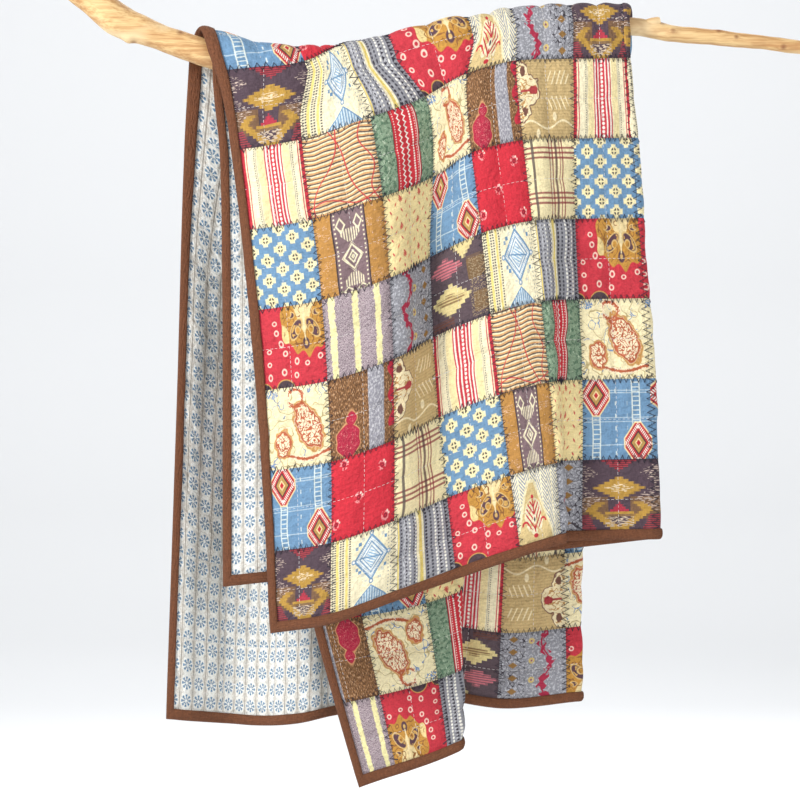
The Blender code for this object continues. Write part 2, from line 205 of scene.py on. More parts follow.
# (along X, angle round the limb from the front, height, length, share of the turn)
KNOTS = [
    (-326, 2.6, 3.0, 16, 1.0),
    (-306, -1.3, 3.5, 7, 0.5),
    (-345, 1.1, 1.6, 10, 0.6),
    (-252, 0.9, 1.2, 8, 0.6),
    (301, 1.3, 0.8, 9, 0.9),
    (313, 0.2, 1.6, 6, 0.6),
    (366, 0.9, 1.6, 6, 0.6),
    (386, 0.3, 1.2, 5, 0.5),
    (440, -0.4, 1.0, 6, 0.6),
]
LIMB_RINGS, LIMB_SIDES = 360, 48
# A cut twig along the top: its line and its thickness, from root to sawn end
STUB_LINE = [(262, -2, 429), (276, -2, 430.5), (290, -2, 433.4), (297.5, -2, 434.6), (299.2, -2, 434.9)]
STUB_RADII = [4.2, 5.0, 6.2, 6.1, 4.9]
STUB_SIDES = 20


class Value:
    """A number that varies over the cloth. Arithmetic on it adds nodes to its material."""

    def __init__(self, tree, socket):
        self.tree, self.socket = tree, socket

    def math(self, operation, *others):
        node = self.tree.nodes.new("ShaderNodeMath")
        node.operation = operation
        for socket, value in zip(node.inputs, (self, *others)):
            if isinstance(value, Value):
                self.tree.links.new(value.socket, socket)
            else:
                socket.default_value = value
        return Value(self.tree, node.outputs[0])

    def __add__(self, other):
        return self.math("ADD", other)

    def __sub__(self, other):
        return self.math("SUBTRACT", other)

    def __rsub__(self, other):
        return self.math("MULTIPLY_ADD", -1.0, other)

    def __mul__(self, other):
        return self.math("MULTIPLY", other)

    def __abs__(self):
        return self.math("ABSOLUTE")

    def stepped(self, steps):
        return (self * steps).math("FLOOR") * (1 / steps)

    def tiled(self, pitch, start=0.0):
        """Counts again from the middle of every tile."""
        return self.math("SUBTRACT", start).math("WRAP", pitch, 0.0) - pitch / 2

    def both(self, *others):
        """Inside this shape and the others."""
        for other in others:
            self = self.math("MAXIMUM", other)
        return self

    def any(self, *others):
        """Inside this shape or one of the others."""
        for other in others:
            self = self.math("MINIMUM", other)
        return self

    def clamped(self):
        return self.math("MINIMUM", 1.0).math("MAXIMUM", 0.0)

    def line(self, half):
        """A line along the shape's edge."""
        return abs(self) - half


def spots(tree, place, scale, detail=1.0):
    """A mottle from about -0.5 to 0.5 of a place, with that many spots to its unit."""
    scaled = tree.nodes.new("ShaderNodeMapping")
    scaled.inputs["Scale"].default_value = scale
    tree.links.new(place, scaled.inputs[0])
    node = tree.nodes.new("ShaderNodeTexNoise")
    node.inputs["Scale"].default_value = 1.0
    node.inputs["Detail"].default_value = detail
    tree.links.new(scaled.outputs[0], node.inputs["Vector"])
    return Value(tree, node.outputs[0]) - 0.5


def blend_colours(tree, amount, lower, upper, way="MIX"):
    """One colour over another. Each is a colour or a socket, and so is the amount."""
    node = tree.nodes.new("ShaderNodeMix")
    node.data_type, node.blend_type = "RGBA", way
    for socket, value in zip([node.inputs[0], *node.inputs[6:8]], (amount, lower, upper)):
        if isinstance(value, (bpy.types.NodeSocket, Value)):
            tree.links.new(getattr(value, "socket", value), socket)
        else:
            socket.default_value = value if isinstance(value, float) else (*value, 1.0)
    return node.outputs[2]


def raise_surface(tree, height, distance, strength=0.5):
    bump = tree.nodes.new("ShaderNodeBump")
    bump.inputs["Strength"].default_value = strength
    bump.inputs["Distance"].default_value = distance
    tree.links.new(getattr(height, "socket", height), bump.inputs["Height"])
    tree.links.new(bump.outputs[0], tree.nodes["Principled BSDF"].inputs["Normal"])


def eased(low, high, at):
    """0 before low, 1 after high, and smooth between them."""
    t = np.clip((at - low) / (high - low), 0, 1)
    return t * t * (3 - 2 * t)


def through(stops, at):
    """A smooth curve's values at places, from its (place, value) stops."""
    at = np.asarray(at, float)
    places = np.array([s[0] for s in stops], float)
    values = np.stack([np.broadcast_to(np.asarray(s[1], float), at.shape) for s in stops])
    at = np.clip(at, places[0], places[-1])
    k = np.clip(np.searchsorted(places, at) - 1, 0, len(places) - 2)
    before, after = np.maximum(k - 1, 0), np.minimum(k + 2, len(places) - 1)
    y_before, y0, y1, y_after = (
        np.take_along_axis(values, i[None], 0)[0] for i in (before, k, k + 1, after)
    )
    span = places[k + 1] - places[k]
    start = (y1 - y_before) / (places[k + 1] - places[before]) * span
    end = (y_after - y0) / (places[after] - places[k]) * span
    t = (at - places[k]) / span
    return (
        y0 * (1 + 2 * t) * (1 - t) ** 2
        + start * t * (1 - t) ** 2
        + y1 * t * t * (3 - 2 * t)
        - end * t * t * (1 - t)
    )


def branch_axis(x):
    return through([(s[0], s[1]) for s in BRANCH], x)


def branch_radius(x):
    return through([(s[0], s[2]) for s in BRANCH], x)


def wandering(x, y, seed, scale):
    """Smooth irregular values about 0, the same every run, from a few crossed waves."""
    dice = np.random.default_rng(seed)
    total = 0.0
    for _ in range(7):
        heading, phase, pitch = dice.uniform(0, 6.28, 3)
        crest = (x * np.cos(heading) + y * np.sin(heading)) * (0.6 + pitch / 5) / scale
        total = total + np.sin(crest + phase)
    return total / 7**0.5


def tube(centres, radii, sides):
    """Points and faces of an open round bar along centres, with a radius for each point."""
    run = np.gradient(centres, axis=0)
    run /= np.linalg.norm(run, axis=1, keepdims=True)
    level = np.cross(run, (0, 0, 1.0))
    level /= np.linalg.norm(level, axis=1, keepdims=True)
    top = np.cross(level, run)
    turn = np.linspace(0, 2 * np.pi, sides, endpoint=False)
    # A turn of 0 faces the front, and a quarter turn on is the top
    out = level[:, None] * np.cos(turn)[:, None] + top[:, None] * np.sin(turn)[:, None]
    rings = centres[:, None] + out * np.broadcast_to(radii, (len(centres), sides))[..., None]
    faces = grid_faces(len(centres), sides, closed=True)
    return rings, faces, turn


limb_x = np.linspace(BRANCH[0][0], BRANCH[-1][0], LIMB_RINGS)
limb_centres = np.stack([limb_x, np.zeros(LIMB_RINGS), branch_axis(limb_x)], axis=1)
turn = np.linspace(0, 2 * np.pi, LIMB_SIDES, endpoint=False)
along, around = np.meshgrid(limb_x, turn, indexing="ij")
limb_radii = branch_radius(along)
limb_radii = limb_radii * (1 + 0.02 * wandering(along, 22 * np.cos(around), 3, 26))
limb_radii = limb_radii + 0.3 * wandering(along, 9 * np.sin(around), 5, 5)
for at, facing, height, length, share in KNOTS:
    away = np.angle(np.exp(1j * (around - facing)))
    swelling = np.exp(-(((along - at) / length) ** 2) - (away / share) ** 2)
    limb_radii = limb_radii + height * swelling
rings, limb_faces, _ = tube(limb_centres, limb_radii, LIMB_SIDES)
ends = [np.arange(LIMB_SIDES)[None], np.arange(LIMB_SIDES)[None, ::-1] + rings[:-1].size // 3]
twig, twig_faces, _ = tube(np.array(STUB_LINE), np.array(STUB_RADII)[:, None], STUB_SIDES)
limb_faces = [limb_faces, *ends, twig_faces + rings.size // 3]
limb_faces += [np.arange(STUB_SIDES)[None, ::-1] + (rings.size + twig[:-1].size) // 3]
limb_points = np.concatenate([rings.reshape(-1, 3), twig.reshape(-1, 3)]) * MM + VIEW_MIDDLE


def peeled_wood():
    """Honey wood with long grain, paler bald patches and dark knots."""
    made = new_material("peeled_wood", 0.55)
    tree = made.node_tree
    place = tree.nodes.new("ShaderNodeTexCoord").outputs["Object"]
    grain = spots(tree, place, (9, 240, 240), 3) + spots(tree, place, (40, 900, 900), 2) * 0.5
    bald = spots(tree, place, (11, 30, 30), 2)
    stain = spots(tree, place, (26, 60, 60), 3)
    colour = blend_colours(
        tree, (grain * 3.4 + 0.45).clamped(), linear(196, 146, 92), linear(236, 200, 142)
    )
    colour = blend_colours(tree, (bald * 5.0).clamped(), colour, linear(246, 220, 172))
    colour = blend_colours(tree, (stain * 4.0 - 0.45).clamped(), colour, linear(176, 118, 70))
    for at, facing_turn, _, length, _ in KNOTS:
        knot = tree.nodes.new("ShaderNodeVectorMath")
        knot.operation = "DISTANCE"
        reach = float(branch_radius(at))
        spot = (at, -reach * math.cos(facing_turn), branch_axis(at) + reach * math.sin(facing_turn))
        knot.inputs[1].default_value = np.array(spot) * MM + VIEW_MIDDLE
        tree.links.new(place, knot.inputs[0])
        away = Value(tree, knot.outputs["Value"]) * (1000 / (0.55 * length)) + stain * 1.5
        colour = blend_colours(
            tree, ((1.25 - away) * 0.85).clamped(), colour, linear(140, 90, 52)
        )
    tree.links.new(colour, tree.nodes["Principled BSDF"].inputs["Base Color"])
    raise_surface(tree, grain, 0.0012, 0.6)
    return made


wood = peeled_wood()
branch = mesh_object("bare_branch", limb_points, limb_faces, [wood])
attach(branch, "branch")
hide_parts("branch")


# ---- How the quilt hangs -------------------------------------------------------------------
# The quilt is counted in patches: columns from its left bound edge to its right one, and rows
# from the ridge seam down the front (to 8) and down the rear (to -8). It is folded lengthwise
# at about column 7, backing to backing, and laid over the branch.

PATCH_HEIGHT = 95.25
PATCH_WIDTH = 92.4
COLUMNS = 13.75
HEM_ROW = 8.0
INNER_GAP = 6.0
FOLD_WIDTH = 0.14
# (along X, how far the outer half's middle stands off the branch)
OUTER_RISE = [
    (-245, 9.5),
    (-222, 12),
    (-205, 13.5),
    (-80, 13),
    (10, 16),
    (60, 16),
    (90, 13),
    (125, 15),
    (190, 13),
    (260, 13),
]
# The front's edges: (row, along X)
FRONT_LEFT = [(0.7, -220), (1.2, -205), (2, -192), (4, -171), (6, -157), (8, -147)]
FRONT_RIGHT = [(0.7, 256), (2, 259), (4, 272), (6, 285), (8, 292)]
ROW_TWO_HEIGHT = 284
FRONT_ROW_PITCH = 91.5
COLUMN_LIFT = [(0, 0), (1, 12), (2, 37), (3, 62), (4, 88), (5, 102), (6, 105), (7.2, 107)]
FRONT_COLUMNS = [0, 1, 2, 3, 4, 5, 5.3, 5.65, 6, 7]
# How far across each of those columns lies, at shares of the way down
FRONT_SPREAD = [
    (0.00, [0, 0.219, 0.314, 0.426, 0.62, 0.727, 0.77, 0.82, 0.87, 1]),
    (0.10, [0, 0.18, 0.351, 0.498, 0.589, 0.716, 0.76, 0.81, 0.86, 1]),
    (0.38, [0, 0.187, 0.36, 0.463, 0.596, 0.724, 0.757, 0.796, 0.835, 1]),
    (0.68, [0, 0.181, 0.342, 0.454, 0.61, 0.737, 0.758, 0.775, 0.825, 1]),
    (1.00, [0, 0.156, 0.318, 0.481, 0.648, 0.752, 0.762, 0.737, 0.808, 1]),
]
# How far each of those columns stands out in a fold
FRONT_FOLDS = [
    (0.00, [0] * 10),
    (0.12, [2, 22, 30, 2, 18, 24, 20, 16, 12, 0]),
    (0.40, [6, 36, 44, 0, 30, 36, 32, 22, 12, 0]),
    (0.70, [8, 38, 42, 6, 32, 34, 27, 16, 6, 0]),
    (1.00, [10, 36, 34, 16, 34, 33, 25, 9, 1, 0]),
]
FRONT_OUTER_Y = -31
FRONT_INNER_Y = -20
INNER_LEFT = [(1.6, -214), (2.4, -207), (4, -203), (8, -202)]
INNER_HEM_LEFT = -213
INNER_FOLDS = [(0, 0), (0.2, 5), (0.32, 6), (0.5, 0), (0.65, 6), (0.8, 7), (1, 2)]
REAR_LEFT = [(0, -243), (0.15, -251), (0.5, -259), (1, -272)]
REAR_RIGHT = [(0, 256), (0.35, 236), (0.75, 208), (1, 206)]
REAR_HEM = [(0, -371), (0.2, -381), (0.31, -377), (0.41, -368), (0.7, -352), (1, -350)]
REAR_OUTER_Y = 56
REAR_WAVES = 3
REAR_WAVE_DEPTH = 36
INNER_TOP_X = (256, -214)
INNER_EDGE_DRIFT = 167
# One deep pleat on the inner half's rear
PLEAT_DEPTH = 95
PLEAT_EDGE_X = (21, 77)
PLEAT_SHARE = (0.5, 0.469)
PLEAT_CLOTH = 545
PLEAT_ROUNDING = 0.022
PLEAT_RUN_GAP = 14
PLEAT_NEAR_Y = 20
INNER_HEM_HEIGHT = [(0, -350), (0.18, -358), (0.36, -346), (0.469, -352), (0.643, -401), (1, -447)]
# The grid: steps to a patch, and the columns between which the lengthwise fold wanders
STEPS = 24
FOLD_ZONE = (6.875, 8.0)


def table(rows, places, down, across):
    """A value from rows of (down, values at the places), smooth both ways."""
    return through([(d, through(list(zip(places, v)), across)) for d, v in rows], down)


def fold_column(row):
    """Where the lengthwise fold runs: it drifts to the right down the rear."""
    return 7.0 + 0.2 * eased(8, 1, row) + 0.5 * eased(1, -8, row)


def outer_ridge_x(column):
    share = through(list(zip(FRONT_COLUMNS, FRONT_SPREAD[0][1])), column)
    left, right = FRONT_LEFT[0][1], FRONT_RIGHT[0][1]
    return left + share * (right - left)


def front_height(column, row):
    return ROW_TWO_HEIGHT - FRONT_ROW_PITCH * (row - 2) + through(COLUMN_LIFT, column)


def outer_radius(x):
    return branch_radius(x) + through(OUTER_RISE, x)


def outer_rows(column):
    """The rows at which the outer half leaves the branch, front and rear."""
    x = outer_ridge_x(column)
    front = 2 + (front_height(column, 2) - branch_axis(x)) / FRONT_ROW_PITCH
    return front, front - math.pi * outer_radius(x) / PATCH_HEIGHT


def front_outer(column, row):
    top = outer_rows(column)[0]
    down = (row - top) / (HEM_ROW - top)
    left, right = through(FRONT_LEFT, row), through(FRONT_RIGHT, row)
    x = left + table(FRONT_SPREAD, FRONT_COLUMNS, down, column) * (right - left)
    near = eased(0, 0.25, down)
    y = FRONT_OUTER_Y * near - outer_radius(x) * (1 - near)
    y = y - table(FRONT_FOLDS, FRONT_COLUMNS, down, column)
    return np.stack([x, y, front_height(column, row)], axis=-1)


def rear_outer(column, row):
    top = outer_rows(column)[1]
    down = (top - row) / (top + HEM_ROW)
    share = column / fold_column(row)
    left, right = through(REAR_LEFT, down), through(REAR_RIGHT, down)
    ridge_x = outer_ridge_x(column) + (left - FRONT_LEFT[0][1]) * (1 - share)
    level = eased(0, 0.35, down)
    x = ridge_x * (1 - level) + (left + share * (right - left)) * level
    start = branch_axis(outer_ridge_x(column))
    z = start + (through(REAR_HEM, share) - start) * down
    near = eased(-0.02, 0.16, down)
    y = REAR_OUTER_Y * near + outer_radius(x) * (1 - near)
    wave = (1 - np.cos(2 * math.pi * REAR_WAVES * share)) / 2
    y = y + REAR_WAVE_DEPTH * wave * eased(0.03, 0.5, down)
    return np.stack([x, y, z], axis=-1)


def over_branch(front, rear, radius, row, rows):
    """Points on the half turn over the branch, between its two lowest points."""
    turned = np.clip((rows[0] - row) / (rows[0] - rows[1]), 0, 1)
    x = front[..., 0] + (rear[..., 0] - front[..., 0]) * turned
    y, z = -radius * np.cos(math.pi * turned), radius * np.sin(math.pi * turned)
    return np.stack([x, y, branch_axis(x) + z], axis=-1)


def either(on_front, on_rear, over, row, rows):
    """The front's points, the rear's, or the ones between, by row."""
    row = row[..., None]
    chosen = np.where(row <= rows[1][..., None], on_rear, over)
    return np.where(row >= rows[0][..., None], on_front, chosen)


def outer(column, row):
    rows = outer_rows(column)
    front, rear = front_outer(column, rows[0]), rear_outer(column, rows[1])
    turned = (rows[0] - row) / (rows[0] - rows[1])
    x = front[..., 0] + (rear[..., 0] - front[..., 0]) * turned
    over = over_branch(front, rear, outer_radius(x), row, rows)
    return either(front_outer(column, row), rear_outer(column, row), over, row, rows)


def inner_ridge_x(share):
    right, left = INNER_TOP_X
    return right + (left - right) * share


def inner_rows(share):
    front = 1.57 + 0.05 * share
    radius = branch_radius(inner_ridge_x(share)) + INNER_GAP
    return front, front - math.pi * radius / PATCH_HEIGHT


def front_inner(share, row):
    top = inner_rows(share)[0]
    down = (row - top) / (HEM_ROW - top)
    left, right = through(INNER_LEFT, row), through(FRONT_RIGHT, row)
    x = right + share * (left - right)
    x = x + (inner_ridge_x(share) - x) * eased(0.2, 0, down)
    hem = front_height(7.2, HEM_ROW) * (1 - share) + INNER_HEM_LEFT * share
    z = branch_axis(inner_ridge_x(share)) * (1 - down) + hem * down
    near = eased(0, 0.2, down)
    y = FRONT_INNER_Y * near - (branch_radius(x) + INNER_GAP) * (1 - near)
    y = y - through(INNER_FOLDS, share) * near
    return np.stack([x, y, z], axis=-1)


def pleat_x(share, down):
    """Along X on the pleated rear: right run, back under itself, then the left run."""
    depth = PLEAT_DEPTH * down**1.3
    first = PLEAT_SHARE[0] + (PLEAT_SHARE[1] - PLEAT_SHARE[0]) * down
    second = first + depth / PLEAT_CLOTH
    edge = PLEAT_EDGE_X[0] + (PLEAT_EDGE_X[1] - PLEAT_EDGE_X[0]) * eased(0, 0.6, down)
    right = through(REAR_RIGHT, down)
    left = INNER_TOP_X[1] + INNER_EDGE_DRIFT * down**1.5
    run_right = right + (edge - depth - right) * share / first
    run_back = edge - depth + (share - first) * PLEAT_CLOTH
    run_left = edge + (left - edge) * (share - second) / (1 - second)
    return np.where(share < first, run_right, np.where(share < second, run_back, run_left))


def rear_inner(share, row):
    top = inner_rows(share)[1]
    down = np.maximum(0, (top - row) / (top + HEM_ROW))
    around = [pleat_x(share + PLEAT_ROUNDING * k / 2, down) for k in range(-2, 3)]
    x = sum(around) / len(around)
    first = PLEAT_SHARE[0] + (PLEAT_SHARE[1] - PLEAT_SHARE[0]) * down
    second = first + PLEAT_DEPTH * down**1.3 / PLEAT_CLOTH
    turns = [eased(s - PLEAT_ROUNDING, s + PLEAT_ROUNDING, share) for s in (first, second)]
    start = branch_axis(inner_ridge_x(share))
    z = start + (through(INNER_HEM_HEIGHT, share) - start) * down
    near = eased(0, 0.22, down)
    radius = branch_radius(inner_ridge_x(share)) + INNER_GAP
    y = (PLEAT_NEAR_Y + PLEAT_RUN_GAP * (2 - sum(turns))) * near + radius * (1 - near)
    return np.stack([x, y, z], axis=-1)


def inner(column, row):
    fold = fold_column(row) + FOLD_WIDTH
    share = (column - fold) / (COLUMNS - fold)
    rows = inner_rows(share)
    front, rear = front_inner(share, rows[0]), rear_inner(share, rows[1])
    over = over_branch(front, rear, branch_radius(front[..., 0]) + INNER_GAP, row, rows)
    return either(front_inner(share, row), rear_inner(share, row), over, row, rows)


def quilt(column, row):
    """The middle of the quilt's thickness, in millimetres from the middle of the view."""
    column, row = np.broadcast_arrays(np.asarray(column, float), np.asarray(row, float))
    fold = fold_column(row)
    start, end = outer(fold, row), inner(fold + FOLD_WIDTH, row)
    turned = (math.pi * np.clip((column - fold) / FOLD_WIDTH, 0, 1))[..., None]
    half = (start - end) / 2
    bulge = np.linalg.norm(half, axis=-1, keepdims=True) * (1, 0, 0)
    turning = (start + end) / 2 + half * np.cos(turned) + bulge * np.sin(turned)
    outside = outer(np.minimum(column, fold), row)
    inside = inner(np.maximum(column, fold + FOLD_WIDTH), row)
    chosen = np.where((column <= fold)[..., None], outside, turning)
    return np.where((column >= fold + FOLD_WIDTH)[..., None], inside, chosen)


def places_across():
    """The grid's columns, closer together where the lengthwise fold runs."""
    whole = np.arange(round(COLUMNS * STEPS) + 1) / STEPS
    close = np.arange(round(FOLD_ZONE[0] * STEPS * 4), round(FOLD_ZONE[1] * STEPS * 4)) / (STEPS * 4)
    return np.unique(np.round(np.concatenate([whole, close]), 6))


grid_columns = places_across()
grid_rows = np.linspace(-HEM_ROW, HEM_ROW, round(2 * HEM_ROW * STEPS) + 1)
hanging = quilt(*np.meshgrid(grid_columns, grid_rows))
# Out of the patchwork side
hanging_normal = np.cross(np.gradient(hanging, axis=0), np.gradient(hanging, axis=1))
hanging_normal /= np.linalg.norm(hanging_normal, axis=-1, keepdims=True)
# Soft dents and ripples that the folds leave, too slight to reach the next layer
DENT_DEPTH = 0.9
RIPPLE_DEPTH = 0.5
across, down = np.meshgrid(grid_columns, grid_rows)
dents = DENT_DEPTH * wandering(across, down * 0.45, 31, 0.16)
ripples = RIPPLE_DEPTH * wandering(across * 0.6, down, 37, 0.085)
hanging = hanging + hanging_normal * (dents + ripples)[..., None]
hanging_normal = np.cross(np.gradient(hanging, axis=0), np.gradient(hanging, axis=1))
hanging_normal /= np.linalg.norm(hanging_normal, axis=-1, keepdims=True)


def hung(column, row):
    """The middle of the quilt's thickness and the way out of its patchwork side, read between
    the grid's points."""
    column, row = np.broadcast_arrays(np.asarray(column, float), np.asarray(row, float))
    i = np.clip(np.searchsorted(grid_rows, row, "right") - 1, 0, len(grid_rows) - 2)
    j = np.clip(np.searchsorted(grid_columns, column, "right") - 1, 0, len(grid_columns) - 2)
    down = ((row - grid_rows[i]) / (grid_rows[i + 1] - grid_rows[i]))[..., None]
    over = ((column - grid_columns[j]) / (grid_columns[j + 1] - grid_columns[j]))[..., None]
    read = []
    for values in (hanging, hanging_normal):
        upper = values[i, j] * (1 - over) + values[i, j + 1] * over
        lower = values[i + 1, j] * (1 - over) + values[i + 1, j + 1] * over
        read.append(upper * (1 - down) + lower * down)
    return read


# ---- The padding between the quilting lines ------------------------------------------------
# The three layers are stitched together along every seam and every half patch, so the batting
# puffs up between the lines. A small swatch of cloth held down along its stitch lines and
# pushed up from below gives the shape of the puffs, and every pocket copies one of its cells.

SWATCH_CELLS = 4
CELL_STEPS = 20
CELL_SIZE = 0.047


def simulated_puffs():
    """The heights of a swatch's pockets, from 0 at the stitches to about 1."""
    steps = SWATCH_CELLS * CELL_STEPS
    i, j = np.meshgrid(np.arange(steps + 1), np.arange(steps + 1), indexing="ij")
    size = CELL_SIZE / CELL_STEPS
    flat = np.stack([i * size, j * size, np.zeros(i.shape)], axis=-1).reshape(-1, 3)
    # A breath of unevenness, so that the cloth wrinkles instead of rising flat
    flat[:, 2] = 0.0004 * (1 + wandering(flat[:, 0] * 1000, flat[:, 1] * 1000, 8, 7))
    swatch = mesh_object("swatch", flat, [grid_faces(steps + 1, steps + 1)], [])
    held = swatch.vertex_groups.new(name="stitched")
    stitched = ((i % CELL_STEPS == 0) | (j % CELL_STEPS == 0)).ravel()
    held.add([int(k) for k in np.flatnonzero(stitched)], 1.0, "REPLACE")
    cloth = swatch.modifiers.new("cloth", "CLOTH")
    cloth.settings.quality = 6
    cloth.settings.mass = 0.1
    cloth.settings.tension_stiffness = 12
    cloth.settings.compression_stiffness = 6
    cloth.settings.shear_stiffness = 4
    cloth.settings.bending_stiffness = 0.02
    cloth.settings.shrink_min = -0.035
    cloth.settings.vertex_group_mass = "stitched"
    cloth.collision_settings.use_collision = False
    cloth.point_cache.frame_start = 1
    cloth.point_cache.frame_end = 24
    gravity = bpy.context.scene.gravity.copy()
    bpy.context.scene.gravity = (0, 0, 9.8)
    for step in range(1, 25):
        bpy.context.scene.frame_set(step)
    settled = swatch.evaluated_get(bpy.context.evaluated_depsgraph_get())
    risen = np.empty(len(flat) * 3, np.float32)
    settled.data.vertices.foreach_get("co", risen)
    bpy.context.scene.gravity = gravity
    bpy.context.scene.frame_set(1)
    bpy.data.objects.remove(swatch)
    height = risen.reshape(steps + 1, steps + 1, 3)[..., 2]
    return height / np.percentile(height, 97)


def even_puffs():
    steps = np.arange(SWATCH_CELLS * CELL_STEPS + 1) / CELL_STEPS
    bulge = np.abs(np.sin(math.pi * steps)) ** 0.7
    return bulge[:, None] * bulge[None]


puff_cells = even_puffs()
puff_cells = 0.35 * puff_cells + 0.65 * np.clip(simulated_puffs(), 0, 1.2)


def puff(column, row):
    """How far the padding has risen, from 0 on a quilting line to about 1."""
    u, v = 2 * np.asarray(column, float), 2 * (np.asarray(row, float) + HEM_ROW)
    cell_u, cell_v = np.floor(u), np.floor(v)
    dice = np.abs(np.sin(cell_u * 12.9898 + cell_v * 78.233) * 43758.5453)
    in_u, in_v = u - cell_u, v - cell_v
    in_u = np.where(dice % 1 < 0.5, in_u, 1 - in_u)
    in_v = np.where(dice * 7 % 1 < 0.5, in_v, 1 - in_v)
    from_u = np.floor(dice * 13 % 1 * SWATCH_CELLS)
    from_v = np.floor(dice * 29 % 1 * SWATCH_CELLS)
    a, b = (from_u + in_u) * CELL_STEPS, (from_v + in_v) * CELL_STEPS
    i = np.minimum(a.astype(int), len(puff_cells) - 2)
    j = np.minimum(b.astype(int), len(puff_cells) - 2)
    a, b = a - i, b - j
    near = puff_cells[i, j] * (1 - b) + puff_cells[i, j + 1] * b
    far = puff_cells[i + 1, j] * (1 - b) + puff_cells[i + 1, j + 1] * b
    return near * (1 - a) + far * a


# In patches, how far the padding thins out before an edge and before the side fold
EDGE_THINNING = (0.1, 0.3)
FOLD_THINNING = 0.3
# The share of the puff that the side fold presses flat
PRESSED_SHARE = 0.7


def on_cloth(column, row, stitched, puffed):
    """Points standing off the middle of the quilt, in metres: one height on the quilting
    lines and another where the padding has fully risen."""
    column, row = np.broadcast_arrays(np.asarray(column, float), np.asarray(row, float))
    middle, normal = hung(column, row)
    from_edge = np.minimum(np.minimum(column, COLUMNS - column), HEM_ROW - np.abs(row))
    turned = eased(FOLD_ZONE[0] - FOLD_THINNING, FOLD_ZONE[0], column)
    turned = turned * (1 - eased(FOLD_ZONE[1], FOLD_ZONE[1] + FOLD_THINNING, column))
    risen = puff(column, row) * eased(*EDGE_THINNING, from_edge) * (1 - PRESSED_SHARE * turned)
    lift = stitched + (puffed - stitched) * risen
    return (middle + normal * lift[..., None]) * MM + VIEW_MIDDLE


# ---- The printed cottons -------------------------------------------------------------------
# Twenty cottons, each printed with one motif to the patch. Every motif is laid over its ground
# one colour at a time, as a print works is, with shapes given in shares of the patch.

EDGE = 90.0
CREAM, WHITE, BLACK = (250, 239, 202), (250, 246, 234), (48, 42, 54)
RED, CRIMSON, BLUE, GREY = (204, 52, 66), (176, 42, 72), (112, 150, 184), (150, 150, 156)
BROWN, PURPLE = (122, 84, 50), (84, 66, 76)


class Print:
    """A cotton under way: its material, the place on the patch and the colours laid so far.
    Shapes are numbers that are below 0 inside."""

    def __init__(self, name, ground):
        self.material = new_material(name, 0.86)
        self.tree = self.material.node_tree
        place = self.tree.nodes.new("ShaderNodeUVMap")
        place.uv_map = "cloth"
        self.place = place.outputs[0]
        split = self.tree.nodes.new("ShaderNodeSeparateXYZ")
        self.tree.links.new(self.place, split.inputs[0])
        # Shares of the patch, from its left and from its foot
        self.x = Value(self.tree, split.outputs["X"]).math("FRACT")
        self.y = 1.0 - Value(self.tree, split.outputs["Y"]).math("FRACT")
        self.colour = linear(*ground)

    def lay(self, colour, *shapes, strength=1.0):
        """Prints a colour inside all the shapes."""
        inside = shapes[0].both(*shapes[1:])
        amount = inside.math("MULTIPLY_ADD", -EDGE, 0.5).clamped() * strength
        self.colour = blend_colours(self.tree, amount, self.colour, linear(*colour))

    def band(self, across, middle, half):
        return abs(across - middle) - half

    def box(self, x, y, wide, tall, at=None):
        u, v = at or (self.x, self.y)
        return (abs(u - x) - wide).both(abs(v - y) - tall)

    def diamond(self, x, y, wide, tall, at=None):
        u, v = at or (self.x, self.y)
        scale = wide * tall / math.hypot(wide, tall)
        reach = abs(u - x) * (1 / wide) + abs(v - y).math("MULTIPLY", 1 / tall)
        return (reach - 1.0) * scale

    def disc(self, x, y, radius, tall=1.0, at=None):
        """A disc, or an ellipse that is that many times as tall."""
        u, v = at or (self.x, self.y)
        u, v = u - x, (v - y) * (1 / tall)
        return (u * u).math("MULTIPLY_ADD", 1.0, v * v).math("SQRT") - radius

    def noise(self, across, up, detail=1.0, seed=0.0):
        """A mottle from about -0.5 to 0.5, with that many spots across and up the patch."""
        place = self.tree.nodes.new("ShaderNodeVectorMath")
        place.inputs[1].default_value = (seed, seed * 1.7, seed)
        self.tree.links.new(self.place, place.inputs[0])
        return spots(self.tree, place.outputs[0], (across, up, 1.0), detail)

    def wave(self, along, count, depth):
        return (along * (count * 2 * math.pi)).math("SINE") * depth

    def done(self, thread=1.0):
        """Adds the weave, whose Shade is partly painted shade, and gives the cotton to the shader."""
        weave = self.tree.nodes.new("ShaderNodeGroup")
        weave.node_tree = weave_group
        weave.inputs["Size"].default_value = thread
        self.tree.links.new(self.place, weave.inputs["Place"])
        # The colour is multiplied by the weave's Shade, which is partly painted shade of the threads,
        # slubs and puckers
        woven = blend_colours(self.tree, 1.0, self.colour, weave.outputs["Shade"], "MULTIPLY")
        self.tree.links.new(woven, self.tree.nodes["Principled BSDF"].inputs["Base Color"])
        raise_surface(self.tree, weave.outputs["Relief"], 0.001, 0.8)
        return self.material


